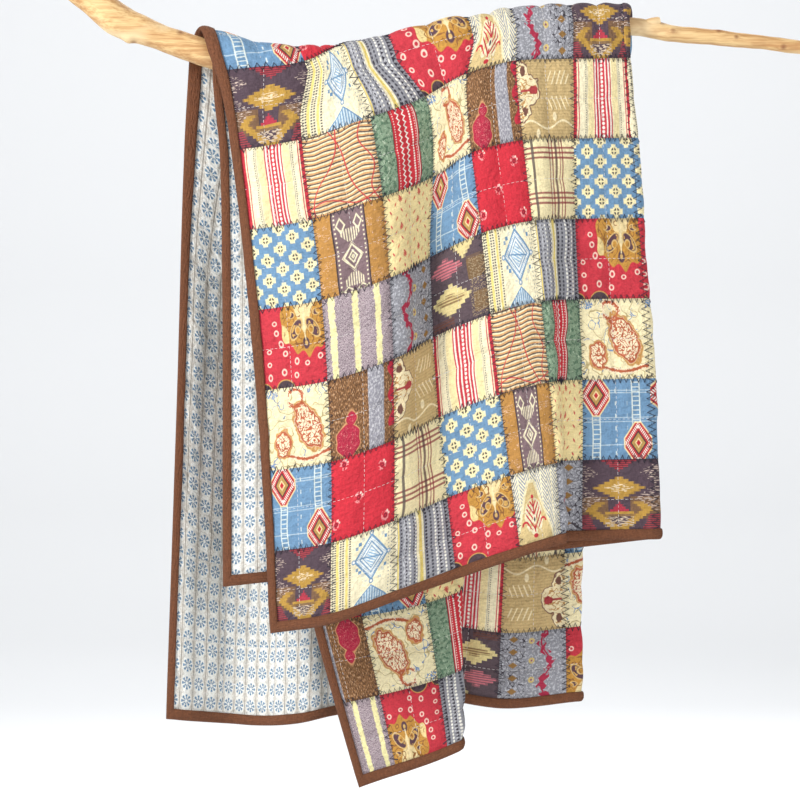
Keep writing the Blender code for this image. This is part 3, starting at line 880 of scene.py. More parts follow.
def make_weave():
    """Threads both ways, slubs and a slightly uneven dye, and a Shade that is partly painted shade
    where the threads and puckers sink.
    """
    group = bpy.data.node_groups.new("cotton_weave", "ShaderNodeTree")
    group.interface.new_socket("Place", in_out="INPUT", socket_type="NodeSocketVector")
    group.interface.new_socket("Size", in_out="INPUT", socket_type="NodeSocketFloat")
    group.interface.new_socket("Shade", in_out="OUTPUT", socket_type="NodeSocketFloat")
    group.interface.new_socket("Relief", in_out="OUTPUT", socket_type="NodeSocketFloat")
    inside = group.nodes.new("NodeGroupInput")
    outside = group.nodes.new("NodeGroupOutput")

    def threads(across, up):
        scaled = group.nodes.new("ShaderNodeMapping")
        scaled.inputs["Scale"].default_value = (across, up, 1.0)
        group.links.new(inside.outputs["Place"], scaled.inputs[0])
        node = group.nodes.new("ShaderNodeTexNoise")
        node.inputs["Detail"].default_value = 1.0
        group.links.new(inside.outputs["Size"], node.inputs["Scale"])
        group.links.new(scaled.outputs[0], node.inputs["Vector"])
        return Value(group, node.outputs[0])

    warp, weft, dye = threads(130, 9), threads(9, 130), threads(2.3, 2.3)
    slubs, puckers = threads(34, 40), threads(11, 15)
    relief = warp + weft
    # Shade darkens the colour where the threads, slubs and puckers sink: painted shade of the relief
    # that the bump also uses. The dye term is real uneven dye.
    shade = relief.math("MULTIPLY_ADD", 0.42, 0.25) + dye * 0.16 + slubs * 0.34 + puckers * 0.16
    relief = relief + slubs * 0.8 + puckers * 5.0
    group.links.new(shade.socket, outside.inputs["Shade"])
    group.links.new(relief.socket, outside.inputs["Relief"])
    return group


weave_group = make_weave()


def red_stripes():
    p = Print("red_stripes", CREAM)
    x = p.x
    p.lay((246, 228, 172), p.band(x, 0.31, 0.055).any(p.band(x, 0.74, 0.05)))
    p.lay(RED, (x - 0.055).any(p.band(x, 0.085, 0.008), p.band(x, 0.92, 0.008), 0.945 - x))
    p.lay(RED, p.band(x, 0.52, 0.15))
    p.lay(WHITE, p.band(abs(x - 0.52), 0.118, 0.012).any(p.band(abs(x - 0.52), 0.062, 0.01)))
    beads = p.disc(0.52, 0.0, 0.02, at=(x, p.y.tiled(0.052)))
    p.lay(WHITE, beads)
    ticks = abs(p.y.tiled(0.03)) - 0.008
    p.lay(BLACK, p.band(x, 0.21, 0.006).any(p.band(x, 0.83, 0.006)), ticks)
    p.lay((150, 140, 120), p.band(x, 0.235, 0.004).any(p.band(x, 0.805, 0.004)))
    return p.done()


def tiger_waves():
    p = Print("tiger_waves", (250, 232, 190))
    rise = p.wave(p.x, 1.0, 0.018) + p.wave(p.x, 2.3, 0.006) + p.noise(5, 5) * 0.03
    v = p.y + rise
    stripe = v.tiled(0.058)
    p.lay((222, 164, 104), p.band(stripe, 0.006, 0.011))
    p.lay((62, 48, 58), p.band(stripe, -0.013, 0.0085))
    for at, lean, count in ((0.32, -0.45, 1.1), (0.52, 0.5, 0.9), (0.86, 0.15, 1.6)):
        curve = p.x - at + (p.y - 0.6) * lean + p.wave(p.y, count, 0.06)
        p.lay((204, 62, 66), abs(curve) - 0.009)
    p.lay((204, 62, 66), abs(p.y - 0.1 - p.wave(p.x, 1.1, 0.06)) - 0.008)
    return p.done()


def blue_crosses():
    p = Print("blue_crosses", BLUE)
    # Staggered: the second set sits half a tile over both ways
    for start in (0.0, 0.5):
        u, v = p.x.tiled(0.44, 0.44 * start), p.y.tiled(0.25, 0.25 * start - 0.04)
        cross = p.box(0, 0, 0.1, 0.034, at=(u, v)).any(p.box(0, 0, 0.036, 0.084, at=(u, v)))
        cross = cross.any(p.box(0, 0, 0.058, 0.05, at=(u, v)))
        p.lay((252, 238, 186), cross)
        p.lay(BLACK, p.disc(0, 0, 0.031, at=(u, v)).line(0.012), 0.009 - abs(u).any(abs(v)))
    return p.done()


def ikat():
    p = Print("ikat", PURPLE)
    x, y = p.x.stepped(42), p.y.stepped(28)
    away = abs(x - 0.5)
    hatch = abs(p.y.tiled(0.028)) - 0.009
    speckle = p.noise(16, 60, seed=3) * 0.2
    p.lay((124, 92, 66), 0.16 - away, p.band(y, 0.3, 0.16))
    p.lay((190, 66, 76), away - (y - 0.82) * 1.7, 0.82 - y)
    p.lay((110, 44, 54), away - (y - 0.82) * 1.7, 0.82 - y, hatch)
    for middle, reach in ((0.78, 0.2), (0.42, 0.26)):
        wedge = 0.5 - away - (reach - abs(y - middle) * 1.4)
        p.lay((214, 192, 176), wedge, 0.01 - speckle, hatch)
    p.lay((188, 146, 64), p.diamond(0.5, 0.57, 0.36, 0.17, at=(x, y)))
    p.lay((230, 208, 170), p.diamond(0.5, 0.57, 0.2, 0.07, at=(x, y)), 0.0 - speckle)
    p.lay((188, 146, 64), p.diamond(0.5, 0.26, 0.4, 0.3, at=(x, y)).line(0.045), y - 0.36)
    p.lay((180, 52, 70), away - (0.36 - y) * 1.2, p.band(y, 0.29, 0.075))
    p.lay((188, 146, 64), away - 0.2, p.band(y, 0.2, 0.02))
    p.lay((206, 186, 160), away - 0.2, p.band(y, 0.1, 0.07), 0.004 - speckle)
    p.lay((190, 66, 76), 0.33 - away + y * 0.5, y - 0.2)
    p.lay((96, 60, 66), 0.33 - away + y * 0.5, y - 0.2, hatch)
    return p.done()


def ikat_hatched():
    p = Print("ikat_hatched", (92, 76, 82))
    x, y = p.x.stepped(26), p.y.stepped(24)
    hatch = abs(p.y.tiled(0.036)) - 0.012
    p.lay((126, 98, 66), p.box(0.84, 0.62, 0.16, 0.13, at=(x, y)))
    p.lay((126, 98, 66), p.box(0.88, 0.2, 0.12, 0.12, at=(x, y)))
    p.lay((160, 140, 110), p.noise(30, 60, seed=5) * 0.2 + 0.01, p.box(0.86, 0.4, 0.14, 0.36))
    p.lay((226, 208, 148), abs(x - 0.62) - (y - 0.76) * 1.0, 0.76 - y)
    p.lay((212, 120, 130), p.diamond(0.3, 0.72, 0.32, 0.13, at=(x, y)), hatch)
    p.lay((230, 212, 150), p.diamond(0.36, 0.32, 0.36, 0.2, at=(x, y)))
    p.lay((150, 120, 80), p.diamond(0.36, 0.32, 0.3, 0.07, at=(x, y)), hatch)
    p.lay((110, 70, 60), p.box(0.2, 0.05, 0.2, 0.05, at=(x, y)), hatch)
    return p.done()


def blue_lattice():
    p = Print("blue_lattice", CREAM)
    x, y = p.x, p.y
    p.lay((240, 218, 130), p.band(x, 0.105, 0.022).any(p.band(x, 0.25, 0.02)))
    ticks = abs(y.tiled(0.034)) - 0.009
    for at in (0.035, 0.07, 0.155, 0.195, 0.3):
        p.lay(BLACK, abs(x - at) - 0.013, ticks)
    for at in (0.9, 0.945):
        p.lay((120, 130, 140), p.disc(at, 0, 0.008, at=(x, y.tiled(0.05))))
    u, v = x - 0.63, y - 0.62
    frame = p.diamond(0, 0, 0.27, 0.34, at=(u, v))
    p.lay(BLUE, frame)
    p.lay((236, 240, 236), frame + 0.028)
    teeth = (u + v).tiled(0.035).both(0.0 - (u - v).tiled(0.035))
    p.lay(BLUE, frame + 0.028, teeth, 0.0 - frame - 0.055)
    p.lay(BLUE, (frame + 0.075).line(0.009).any((frame + 0.115).line(0.007)))
    hatch = (u * 0.6 + v).tiled(0.042)
    p.lay((150, 186, 214), frame + 0.13, hatch)
    p.lay(BLUE, abs(v + u * 0.12) - 0.01, frame + 0.06)
    for cx, cy in ((0.0, 0.34), (0.0, -0.34), (-0.27, 0.0), (0.27, 0.0)):
        knot = p.disc(cx, cy, 0.034, at=(u, v))
        p.lay(BLUE, knot)
        p.lay(WHITE, knot + 0.016)
    fan = abs(u) - (0.22 - y) * 1.15
    p.lay((205, 220, 226), fan, y - 0.22)
    p.lay(BLUE, fan, y - 0.2, abs(u.tiled(0.04)) - 0.009)
    p.lay(BLUE, fan.line(0.012), y - 0.23)
    steps = p.diamond(0, 0, 0.36, 0.46, at=(u.stepped(20), v.stepped(20)))
    p.lay(BLUE, steps.line(0.01), abs(u) - 0.24, abs(v) - 0.33)
    return p.done()


def grey_rows():
    p = Print("grey_rows", GREY)
    x, y = p.x, p.y
    p.lay((196, 196, 200), p.band(x, 0.2, 0.055).any(p.band(x, 0.78, 0.04)), p.noise(50, 20) * 0.2)
    p.lay(CREAM, (x - 0.05).any(p.band(x, 0.45, 0.07)))
    p.lay((236, 212, 120), p.band(x, 0.07, 0.012).any(p.band(x, 0.455, 0.03)))
    rows = y.tiled(0.05)
    for at, colour in ((0.115, BLACK), (0.2, BLACK), (0.26, WHITE), (0.33, BLACK), (0.36, WHITE)):
        p.lay(colour, p.disc(at, 0, 0.013, at=(x, rows)))
    for at, colour in ((0.56, BLACK), (0.64, (70, 70, 80)), (0.72, WHITE), (0.86, WHITE)):
        p.lay(colour, p.disc(at, 0, 0.018, at=(x, rows)))
    p.lay(BLACK, abs(x - 0.79) - 0.03, abs(rows) - (0.82 - x) * 0.35)
    p.lay(BLACK, abs(x - 0.95) - 0.03, abs(rows) - (0.98 - x) * 0.4)
    p.lay((110, 110, 120), p.band(x, 0.535, 0.006).any(p.band(x, 0.1, 0.005)))
    return p.done()


def tribal_band():
    p = Print("tribal_band", (190, 138, 70))
    x, y = p.x, p.y
    scratch = p.noise(16, 34, seed=2) + p.wave(y, 3.0, 0.12)
    p.lay((236, 200, 178), abs(scratch - 0.1) - 0.016, p.noise(5, 7, seed=6) * 0.2 - 0.002)
    middle = p.band(x, 0.48, 0.225)
    p.lay((132, 108, 112), middle)
    p.lay(BLACK, middle.line(0.009))
    u, v = x - 0.48, y - 0.42
    dots = p.disc(0.19, 0, 0.011, at=(abs(u), y.tiled(0.055)))
    diamond = p.diamond(0, 0, 0.12, 0.15, at=(u, v))
    for grown in (0.0, 0.05, 0.082):
        p.lay(CREAM, (diamond + grown).line(0.009))
    p.lay(CREAM, dots)
    teeth = (abs(u) + abs(v)).tiled(0.035)
    p.lay(CREAM, (diamond - 0.015).line(0.008), teeth)
    rays = abs(abs(u).tiled(0.034)) - 0.008
    fan = abs(u) * 0.8 - 0.02 - (abs(v) - 0.17) * 0.8
    p.lay(CREAM, rays, p.band(abs(v), 0.27, 0.08), fan, abs(u) - 0.13)
    kite = p.diamond(0.115, 0.4, 0.055, 0.085, at=(abs(u), v))
    p.lay(CREAM, kite.line(0.009))
    p.lay(CREAM, p.diamond(0.1, -0.4, 0.06, 0.04, at=(abs(u), v)).line(0.008))
    return p.done()


def red_sprigs():
    p = Print("red_sprigs", (250, 228, 166))
    for start, lean, colour in ((0.0, 0.5, RED), (0.5, -0.6, (214, 84, 64))):
        u, v = p.x.tiled(0.19, 0.19 * start), p.y.tiled(0.17, 0.17 * start)
        p.lay(colour, p.disc(0, 0, 0.012, 1.9, at=(u + v * lean, v)))
    u, v = p.x.tiled(0.38, 0.1), p.y.tiled(0.34, 0.05)
    star = abs(u).any(abs(v), abs(u - v) * 0.7, abs(u + v) * 0.7) - 0.007
    p.lay((206, 70, 66), star, p.disc(0, 0, 0.036, at=(u, v)))
    return p.done()


def red_paisley():
    p = Print("red_paisley", RED)
    rings = [
        (0.23, 0.80), (0.25, 0.68), (0.30, 0.54), (0.10, 0.46), (0.36, 0.42), (0.54, 0.31),
        (0.71, 0.27), (0.92, 0.33), (0.33, 0.19), (0.10, 0.30), (0.52, 0.14), (0.10, 0.14),
    ]
    for k, (x, y) in enumerate(rings):
        ring = p.disc(x, y, 0.03, 1.0 + 0.3 * (k % 3 - 1) * 0.6)
        p.lay((252, 214, 196), ring.line(0.009))
    wobble = p.wave(p.x, 5.0, 0.03) + p.wave(p.y, 3.0, 0.02)
    bloom = p.disc(0.72, 0.78, 0.37, 1.12) + wobble
    p.lay((198, 144, 62), bloom)
    mirror, v = abs(p.x - 0.7), p.y
    p.lay((240, 214, 148), p.disc(0.33, 0.62, 0.11, 1.4), bloom)
    p.lay((238, 214, 158), abs(mirror) - (v - 0.62) * 0.45, 0.62 - v, bloom)
    worms = abs(p.noise(11, 9, 0.5, seed=4)) - 0.028
    p.lay((150, 100, 52), worms, bloom + 0.03, 0.05 - mirror)
    leaf = p.disc(0.13, 0.7, 0.075, 1.5, at=(mirror + (v - 0.7) * 0.5, v))
    notch = p.disc(0.1, 0.68, 0.045, 1.3, at=(mirror, v))
    bite = p.disc(0.24, 0.9, 0.03, at=(mirror, v))
    tip = p.disc(0.2, 0.88, 0.05, 0.7, at=(mirror, v)).both(0.02 - bite)
    scrolls = leaf.both(0.0 - notch).any(tip)
    p.lay((226, 190, 122), scrolls - 0.014, bloom)
    p.lay((92, 62, 72), scrolls, bloom)
    p.lay((214, 168, 92), p.noise(13, 13, 1.0, seed=9) * 0.5 + 0.02, scrolls + 0.008)
    p.lay((92, 62, 72), p.disc(0.0, 0.52, 0.05, 1.5, at=(mirror, v)))
    p.lay((220, 180, 110), p.disc(0.0, 0.52, 0.022, 1.4, at=(mirror, v)))
    p.lay((246, 226, 176), mirror - 0.009, 0.56 - v, bloom)
    arch = p.disc(0.33, -0.06, 0.15).any(p.disc(-0.02, -0.06, 0.13))
    p.lay((212, 168, 90), arch - 0.012)
    p.lay((84, 64, 70), arch)
    return p.done()


def mauve_bars():
    p = Print("mauve_bars", (166, 148, 154))
    fleck = p.noise(110, 60, seed=2)
    p.lay((214, 200, 200), (0.08 - fleck) * 0.3, strength=0.8)
    p.lay((84, 72, 82), (fleck + 0.1) * 0.3, strength=0.85)
    ragged = p.noise(20, 24, seed=7) * 0.05
    for at in (0.13, 0.45, 0.77):
        p.lay((248, 238, 176), p.band(p.x + ragged, at, 0.042))
    return p.done()


def grey_vine():
    p = Print("grey_vine", GREY)
    x, y = p.x, p.y
    p.lay((192, 192, 198), p.noise(30, 30, seed=1) * 0.3 + 0.02)
    stem = x - 0.3 - p.wave(y, 1.5, 0.07)
    leaf = abs(stem) + abs(y.tiled(0.13)) * 0.9 - 0.085
    p.lay(CRIMSON, (abs(stem) - 0.014).any(leaf.both(p.noise(9, 9) * 0.3 - 0.012)))
    for at in (0.14, 0.44, 0.74):
        p.lay((216, 188, 112), p.disc(0.52, at, 0.032).line(0.014))
        p.lay((150, 50, 60), p.disc(0.52, at, 0.012))
    scribble = abs(p.noise(13, 10, 0.5, seed=9)) - 0.02
    p.lay((60, 54, 62), scribble, 0.62 - x)
    p.lay((150, 112, 60), p.diamond(0.8, 0.0, 0.07, 0.05, at=(x, y.tiled(0.2))))
    return p.done()


def green_red():
    p = Print("green_red", (134, 158, 130))
    p.lay((92, 122, 96), p.noise(16, 22, 2, seed=1) * 0.5 + 0.02)
    p.lay((190, 206, 178), abs(p.noise(18, 10, seed=2)) - 0.008)
    x, y = p.x, p.y
    red = p.band(x, 0.49, 0.21)
    p.lay((208, 46, 58), red)
    for at, start in ((0.4, 0.0), (0.5, 0.5)):
        zigzag = x - at - abs(y.tiled(0.07, 0.07 * start)) * 1.1 + 0.02
        p.lay(WHITE, abs(zigzag) - 0.011)
    for at, size in ((0.32, 0.007), (0.59, 0.012), (0.645, 0.006)):
        p.lay(WHITE, p.disc(at, 0, size, at=(x, y.tiled(0.032))))
    p.lay(WHITE, p.band(x, 0.672, 0.006))
    p.lay((90, 40, 44), red.line(0.006))
    return p.done()


def rust_paisley():
    p = Print("rust_paisley", (250, 236, 190))
    rust = (188, 96, 60)
    swirls = abs(p.noise(7, 7, 0.6, seed=5)) - 0.014
    edge = p.noise(4, 4, seed=3)
    p.lay((120, 146, 184), swirls, 0.03 - edge)
    p.lay((196, 176, 126), abs(p.noise(5, 6, 0.5, seed=8)) - 0.012)
    p.lay((120, 150, 190), p.disc(0.1, 0.93, 0.11, 0.5), abs(p.noise(26, 22, seed=2)) - 0.06)
    ragged = p.noise(9, 9, 1.5, seed=11) * 0.12
    u, v = p.x - 0.66, p.y - 0.5
    body = p.disc(0, 0, 0.2, 1.45, at=(u + v * 0.35, v)) + ragged
    neck = p.disc(0.46, 0.86, 0.13, 0.8).line(0.032).both(0.36 - p.x) + ragged * 0.4
    small = p.disc(0.25, 0.3, 0.12, 1.3) + ragged
    branch_line = (abs(p.y - 0.13 - p.wave(p.x, 1.2, 0.035)) - 0.022).both(0.3 - p.x) + ragged * 0.3
    shapes = body.any(neck, small, branch_line)
    lace = abs(p.noise(22, 20, 1, seed=6)) - 0.05
    p.lay((250, 232, 196), shapes - 0.012)
    p.lay(rust, lace, shapes)
    p.lay((204, 150, 84), (body - 0.016).line(0.012).any((small - 0.012).line(0.011)))
    p.lay(rust, (body + 0.012).line(0.012).any((small + 0.01).line(0.011), neck + 0.018))
    p.lay(rust, branch_line + 0.008)
    p.lay((250, 232, 196), p.disc(0.62, 0.68, 0.05).any(p.disc(0.64, 0.36, 0.05)), lace * -1)
    return p.done()


def brown_fur():
    p = Print("brown_fur", BROWN)
    fur = p.noise(80, 26, 2, seed=3)
    p.lay((188, 138, 92), (0.05 - fur) * 0.25, strength=0.8)
    p.lay((226, 194, 158), (0.15 - fur) * 0.25, strength=0.8)
    p.lay((82, 58, 46), (fur + 0.1) * 0.25, strength=0.8)
    x, y = p.x, p.y
    p.lay((150, 148, 156), p.band(x, 0.7, 0.12))
    p.lay((196, 194, 198), p.band(x, 0.7, 0.12), 0.05 - p.noise(60, 24, seed=4))
    body = p.disc(0.27, 0.2, 0.17, 1.25).any(p.disc(0.32, 0.46, 0.07, 1.5)) + p.wave(y, 6.0, 0.01)
    p.lay((214, 160, 110), body - 0.012)
    p.lay((182, 38, 66), body)
    p.lay((226, 130, 130), abs(p.noise(24, 20, seed=9)) - 0.01, body + 0.02)
    scallop = 0.93 - x + p.wave(y, 3.0, 0.045)
    p.lay((196, 42, 62), scallop, 0.2 - y)
    return p.done()


def tan_scroll():
    p = Print("tan_scroll", (208, 180, 126))
    cream, dark = (246, 228, 184), (116, 76, 62)
    x, v = p.x, abs(p.y - 0.6)
    p.lay((180, 148, 96), abs(p.y.tiled(0.04)) - 0.006, strength=0.55)
    vine = abs(p.y - 0.17 - p.wave(p.x, 1.6, 0.05)) - 0.012
    leaves = p.disc(0.3, 0.06, 0.035, 1.6).any(p.disc(0.62, 0.27, 0.035, 1.6))
    p.lay(cream, vine.any(leaves))
    feather = abs((x - v * 0.5).tiled(0.085)) - 0.011 + p.noise(6, 6, 1, seed=8) * 0.02
    p.lay(cream, feather.both(0.07 - v, v - 0.24), p.disc(0.72, 0.14, 0.2, 0.75, at=(x, v)))
    stem = p.disc(0.14, 0.0, 0.23, 0.85, at=(x, v)) + p.noise(8, 8, 1, seed=4) * 0.14
    horn = p.disc(0.02, 0.22, 0.17, 0.9, at=(x, v)) + p.noise(9, 9, 1, seed=7) * 0.12
    tree_shape = stem.any(horn)
    p.lay(dark, tree_shape - 0.016)
    p.lay(cream, tree_shape)
    p.lay((196, 150, 92), abs(p.noise(9, 12, 1, seed=2)) - 0.03, tree_shape + 0.03)
    p.lay(dark, p.disc(0.1, 0.25, 0.045, 1.3, at=(x, v)) + p.noise(14, 14, seed=3) * 0.06)
    p.lay((176, 62, 64), p.disc(0.27, 0.0, 0.075, 0.7, at=(x, v)) + p.noise(16, 16, seed=5) * 0.05)
    p.lay((176, 62, 64), (v - 0.014).both(0.05 - x, x - 0.27))
    return p.done()


def blue_medallions():
    p = Print("blue_medallions", BLUE)
    x, y = p.x, p.y
    pale = (226, 234, 226)
    for at, half in ((0.86, 0.005), (0.83, 0.005), (0.52, 0.004), (0.47, 0.004), (0.18, 0.005)):
        p.lay((196, 214, 222), p.band(y, at, half))
    for cx, low, high in ((0.2, 0.0, 0.56), (0.78, 0.42, 1.0)):
        u = abs(x - cx)
        inside = p.band(y, (low + high) / 2, (high - low) / 2)
        rungs = abs(y.tiled(0.058)) - 0.006
        p.lay(pale, (abs(u - 0.055) - 0.008).any(rungs.both(u - 0.055)), inside)
    dashes = p.box(0, 0, 0.007, 0.024, at=(x.tiled(0.17, 0.06), y.tiled(0.155)))
    p.lay(pale, dashes, abs(x - 0.49) - 0.16)
    for cx, cy in ((0.2, 0.8), (0.8, 0.2)):
        u, v = x - cx, y - cy
        medal = p.diamond(0, 0, 0.235, 0.3, at=(u, v)).both(abs(u) - 0.19, abs(v) - 0.25)
        p.lay((250, 226, 170), medal - 0.016)
        p.lay((196, 50, 54), medal)
        ring = p.diamond(0, 0, 0.17, 0.22, at=(u, v))
        ticks = (abs(u) - abs(v) * 0.75).tiled(0.032)
        p.lay(WHITE, (ring - 0.004).line(0.02), ticks)
        p.lay(BLACK, p.diamond(0, 0, 0.12, 0.155, at=(u, v)))
        p.lay((190, 150, 84), p.diamond(0, 0, 0.1, 0.13, at=(u, v)))
        p.lay((250, 226, 170), p.diamond(0, 0, 0.052, 0.066, at=(u, v)))
        p.lay((196, 40, 50), p.diamond(0, 0, 0.034, 0.044, at=(u, v)))
        for way in (-1, 1):
            p.lay(WHITE, p.disc(0, 0.2 * way, 0.017, at=(u, v)))
    return p.done()


def plain_red():
    p = Print("plain_red", (208, 42, 58))
    for cx, cy in ((0.78, 0.76), (0.42, 0.46), (0.84, 0.12), (0.08, 0.2), (0.2, 0.92)):
        u, v = p.x - cx, p.y - cy
        petals = p.disc(0, 0, 0.052, at=(u, v)).line(0.016).both(p.noise(30, 30, seed=cx) * 0.3)
        p.lay((238, 150, 150), petals)
        petals = p.disc(0.03, 0.05, 0.014, at=(u, v)).any(p.disc(0.055, 0.02, 0.012, at=(u, v)))
        p.lay((252, 222, 206), petals)
        p.lay((140, 24, 44), p.disc(0, 0, 0.02, at=(u, v)).line(0.009))
    return p.done()


def plaid():
    p = Print("plaid", (250, 234, 184))
    maroon = (146, 44, 56)
    for middle in (0.82, 0.26):
        for k in (-1, 0, 1):
            p.lay(maroon, p.band(p.y, middle + 0.062 * k, 0.013), strength=0.85)
    p.lay((96, 84, 80), p.band(p.x, 0.15, 0.024), strength=0.9)
    for at, half in ((0.47, 0.012), (0.53, 0.01), (0.6, 0.022), (0.68, 0.01), (0.74, 0.014)):
        p.lay(maroon if at != 0.6 else (90, 50, 56), p.band(p.x, at, half), strength=0.85)
    return p.done()


def chevron_plant():
    p = Print("chevron_plant", (158, 162, 172))
    x, y = p.x, p.y
    folded = abs(x.tiled(0.24))
    p.lay(CREAM, (y + folded * 1.3).tiled(0.062))
    p.lay(CREAM, p.band(folded, 0.0, 0.012))
    u = abs(x - 0.36)
    ogee = u - 0.27 + (y - 0.3) * 0.42 + p.noise(6, 6) * 0.06
    p.lay((244, 232, 190), ogee - 0.05, y - 0.86)
    p.lay((222, 196, 138), ogee, y - 0.82)
    p.lay((246, 234, 196), p.disc(0, 0.34, 0.2, 1.3, at=(u, y)), p.noise(9, 9, seed=2) * 0.3 - 0.02)
    ribs = (y - u * 1.4).tiled(0.105)
    leaf = p.disc(0, 0.36, 0.17, 1.3, at=(u, y))
    p.lay((200, 52, 60), abs(ribs) - 0.02, leaf)
    p.lay((200, 52, 60), (u - 0.013).both(abs(y - 0.34) - 0.22))
    p.lay((200, 52, 60), p.disc(0.2, 0.24, 0.055, at=(u, y)).line(0.016).both(0.24 - y))
    p.lay((250, 240, 210), p.disc(0, 0.3, 0.036, 2.0, at=(u, y)))
    p.lay(BLACK, p.disc(0, 0.3, 0.018, 2.0, at=(u, y)))
    p.lay((200, 52, 60), p.disc(0, 0.62, 0.03, at=(u, y)).any(p.disc(0, 0.07, 0.05, 0.6, at=(u, y))))
    return p.done()


COTTONS = {
    "A": ikat, "B": blue_lattice, "C": grey_rows, "D": red_stripes, "E": tiger_waves,
    "F": green_red, "G": blue_crosses, "H": tribal_band, "I": red_sprigs, "J": red_paisley,
    "K": mauve_bars, "L": grey_vine, "M": rust_paisley, "N": brown_fur, "O": tan_scroll,
    "P": blue_medallions, "Q": plain_red, "R": plaid, "S": chevron_plant, "T": ikat_hatched,
}
prints = {letter: make() for letter, make in COTTONS.items()}


# ---- The patchwork top ---------------------------------------------------------------------
# Square patches of many printed cottons, seamed edge to edge. The front and the rear are one
# cloth, made here as two pieces that meet along the ridge seam.

PATCHWORK_LIFT = (0.9, 4.6)
BINDING_WIDTH = 12.0
SIDES = {"front": (1.0, HEM_ROW), "rear": (-HEM_ROW, 1.0)}


def hang(obj):
    """Bakes a piece's placement into its mesh."""
    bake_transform(obj)


def cloth_grid(side, divisions=None):
    """The columns and rows of a side's grid, or of a plain one."""
    first, last = SIDES[side]
    if divisions:
        across = np.linspace(0, COLUMNS, round(COLUMNS * divisions) + 1)
        return across, np.linspace(first, last, round((last - first) * divisions) + 1)
    return grid_columns, grid_rows[(grid_rows > first - 0.001) & (grid_rows < last + 0.001)]


def cloth_sheet(name, side, lifts, materials, slots=None, facing_out=True):
    """One side's cloth, with a UV map counted in patches."""
    across, rows = cloth_grid(side)
    column, row = np.meshgrid(across, rows)
    points = on_cloth(column, row, *lifts).reshape(-1, 3)
    faces = grid_faces(len(rows), len(across))
    uv = np.stack([column, row], axis=-1)
    if facing_out:
        # The outermost patches are cut smaller, so that the binding hides none of the print
        hidden = 1 - BINDING_WIDTH / PATCH_WIDTH
        uv[..., 0] = np.where(column < 1, np.maximum(1 - (1 - column) / hidden, 0.001), column)
        outermost = np.minimum((np.abs(row) - HEM_ROW + 1) / hidden, 0.999) + HEM_ROW - 1
        uv[..., 1] = np.where(np.abs(row) > HEM_ROW - 1, np.sign(row) * outermost, row)
    uv = uv.reshape(-1, 2)
    return mesh_object(name, points, [faces[:, ::-1] if facing_out else faces], materials, uv, slots)


GROUPS = ["ADGJMP", "BEHKNQ", "CFILOR"]
# The column that turns at the side fold repeats the cottons beside it
SIDE_FOLD_COLUMN = 7
# On every other three columns two of the cottons change
SWAPS = {"A": "T", "K": "S"}


def print_at(column, row):
    if column == SIDE_FOLD_COLUMN:
        return print_at(column - 1, row)
    letter = GROUPS[column % 3][(row - 1 + 3 * (column // 3)) % 6]
    return SWAPS.get(letter, letter) if (column // 3) % 2 else letter


letters = list(prints)
for side in SIDES:
    across, rows = cloth_grid(side)
    middle_column, middle_row = np.meshgrid(
        np.floor((across[1:] + across[:-1]) / 2).astype(int),
        np.floor((rows[1:] + rows[:-1]) / 2).astype(int),
    )
    chosen = [
        letters.index(print_at(c, r)) for c, r in zip(middle_column.ravel(), middle_row.ravel())
    ]
    top = cloth_sheet(side + "_patchwork", side, PATCHWORK_LIFT, prints.values(), chosen)
    hang(top)
    names = [f"{body}_{half}_patchwork" for body in (side,) for half in ("outer", "inner")]
    if side == "front":
        names += ["ridge_outer_patchwork", "ridge_inner_patchwork"]
    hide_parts(*names)


# ---- The backing ---------------------------------------------------------------------------
# One white cotton lawn with columns of small blue rosettes between beige lattices.

BACKING_LIFT = (-0.9, -3.3)


def rosette_lawn():
    p = Print("rosette_lawn", (240, 240, 234))
    pitch = 20.5
    u = (p.x * PATCH_WIDTH).tiled(PATCH_WIDTH / 4.5)
    v = (p.y * PATCH_HEIGHT).tiled(PATCH_HEIGHT / 4.6)
    beige, taupe, blue = (214, 206, 192), (160, 152, 142), (92, 130, 162)
    lattice = (abs(u) + abs(v)).tiled(pitch / 2)
    p.lay(beige, (abs(lattice) - 0.55) * 0.01)
    p.lay((226, 220, 208), (abs((abs(u) + abs(v)).tiled(2.6)) - 0.6) * 0.01, (7.5 - abs(u)) * 0.01)
    p.lay(taupe, (pitch / 2 - 0.75 - abs(u)) * 0.01)
    p.lay((176, 168, 158), (abs(abs(u) - 7.6) - 0.25) * 0.01)
    reach = (u * u + v * v).math("SQRT")
    petals = (v.math("ARCTAN2", u) * 8.0).math("COSINE")
    p.lay((242, 242, 236), (reach - 8.2) * 0.01)
    p.lay(blue, (abs(reach - 3.1) - 1.25) * 0.01, petals * -0.012 - 0.004)
    p.lay(blue, (abs(reach - 6.1) - 1.35) * 0.01, petals * -0.012 - 0.003)
    return p.done()


backing_print = rosette_lawn()
for side in SIDES:
    backing = cloth_sheet(
        side + "_backing", side, BACKING_LIFT, [backing_print], facing_out=False
    )
    hang(backing)
    names = [f"{body}_{half}_backing" for body in (side,) for half in ("outer", "inner")]
    if side == "front":
        names += ["ridge_outer_backing", "ridge_inner_backing"]
    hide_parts(*names)


# ---- The batting ---------------------------------------------------------------------------
# A thin cotton wadding between the two cloths, hidden but for a glimpse.

BATTING_HALF = 0.7
BATTING_INSET = 0.04

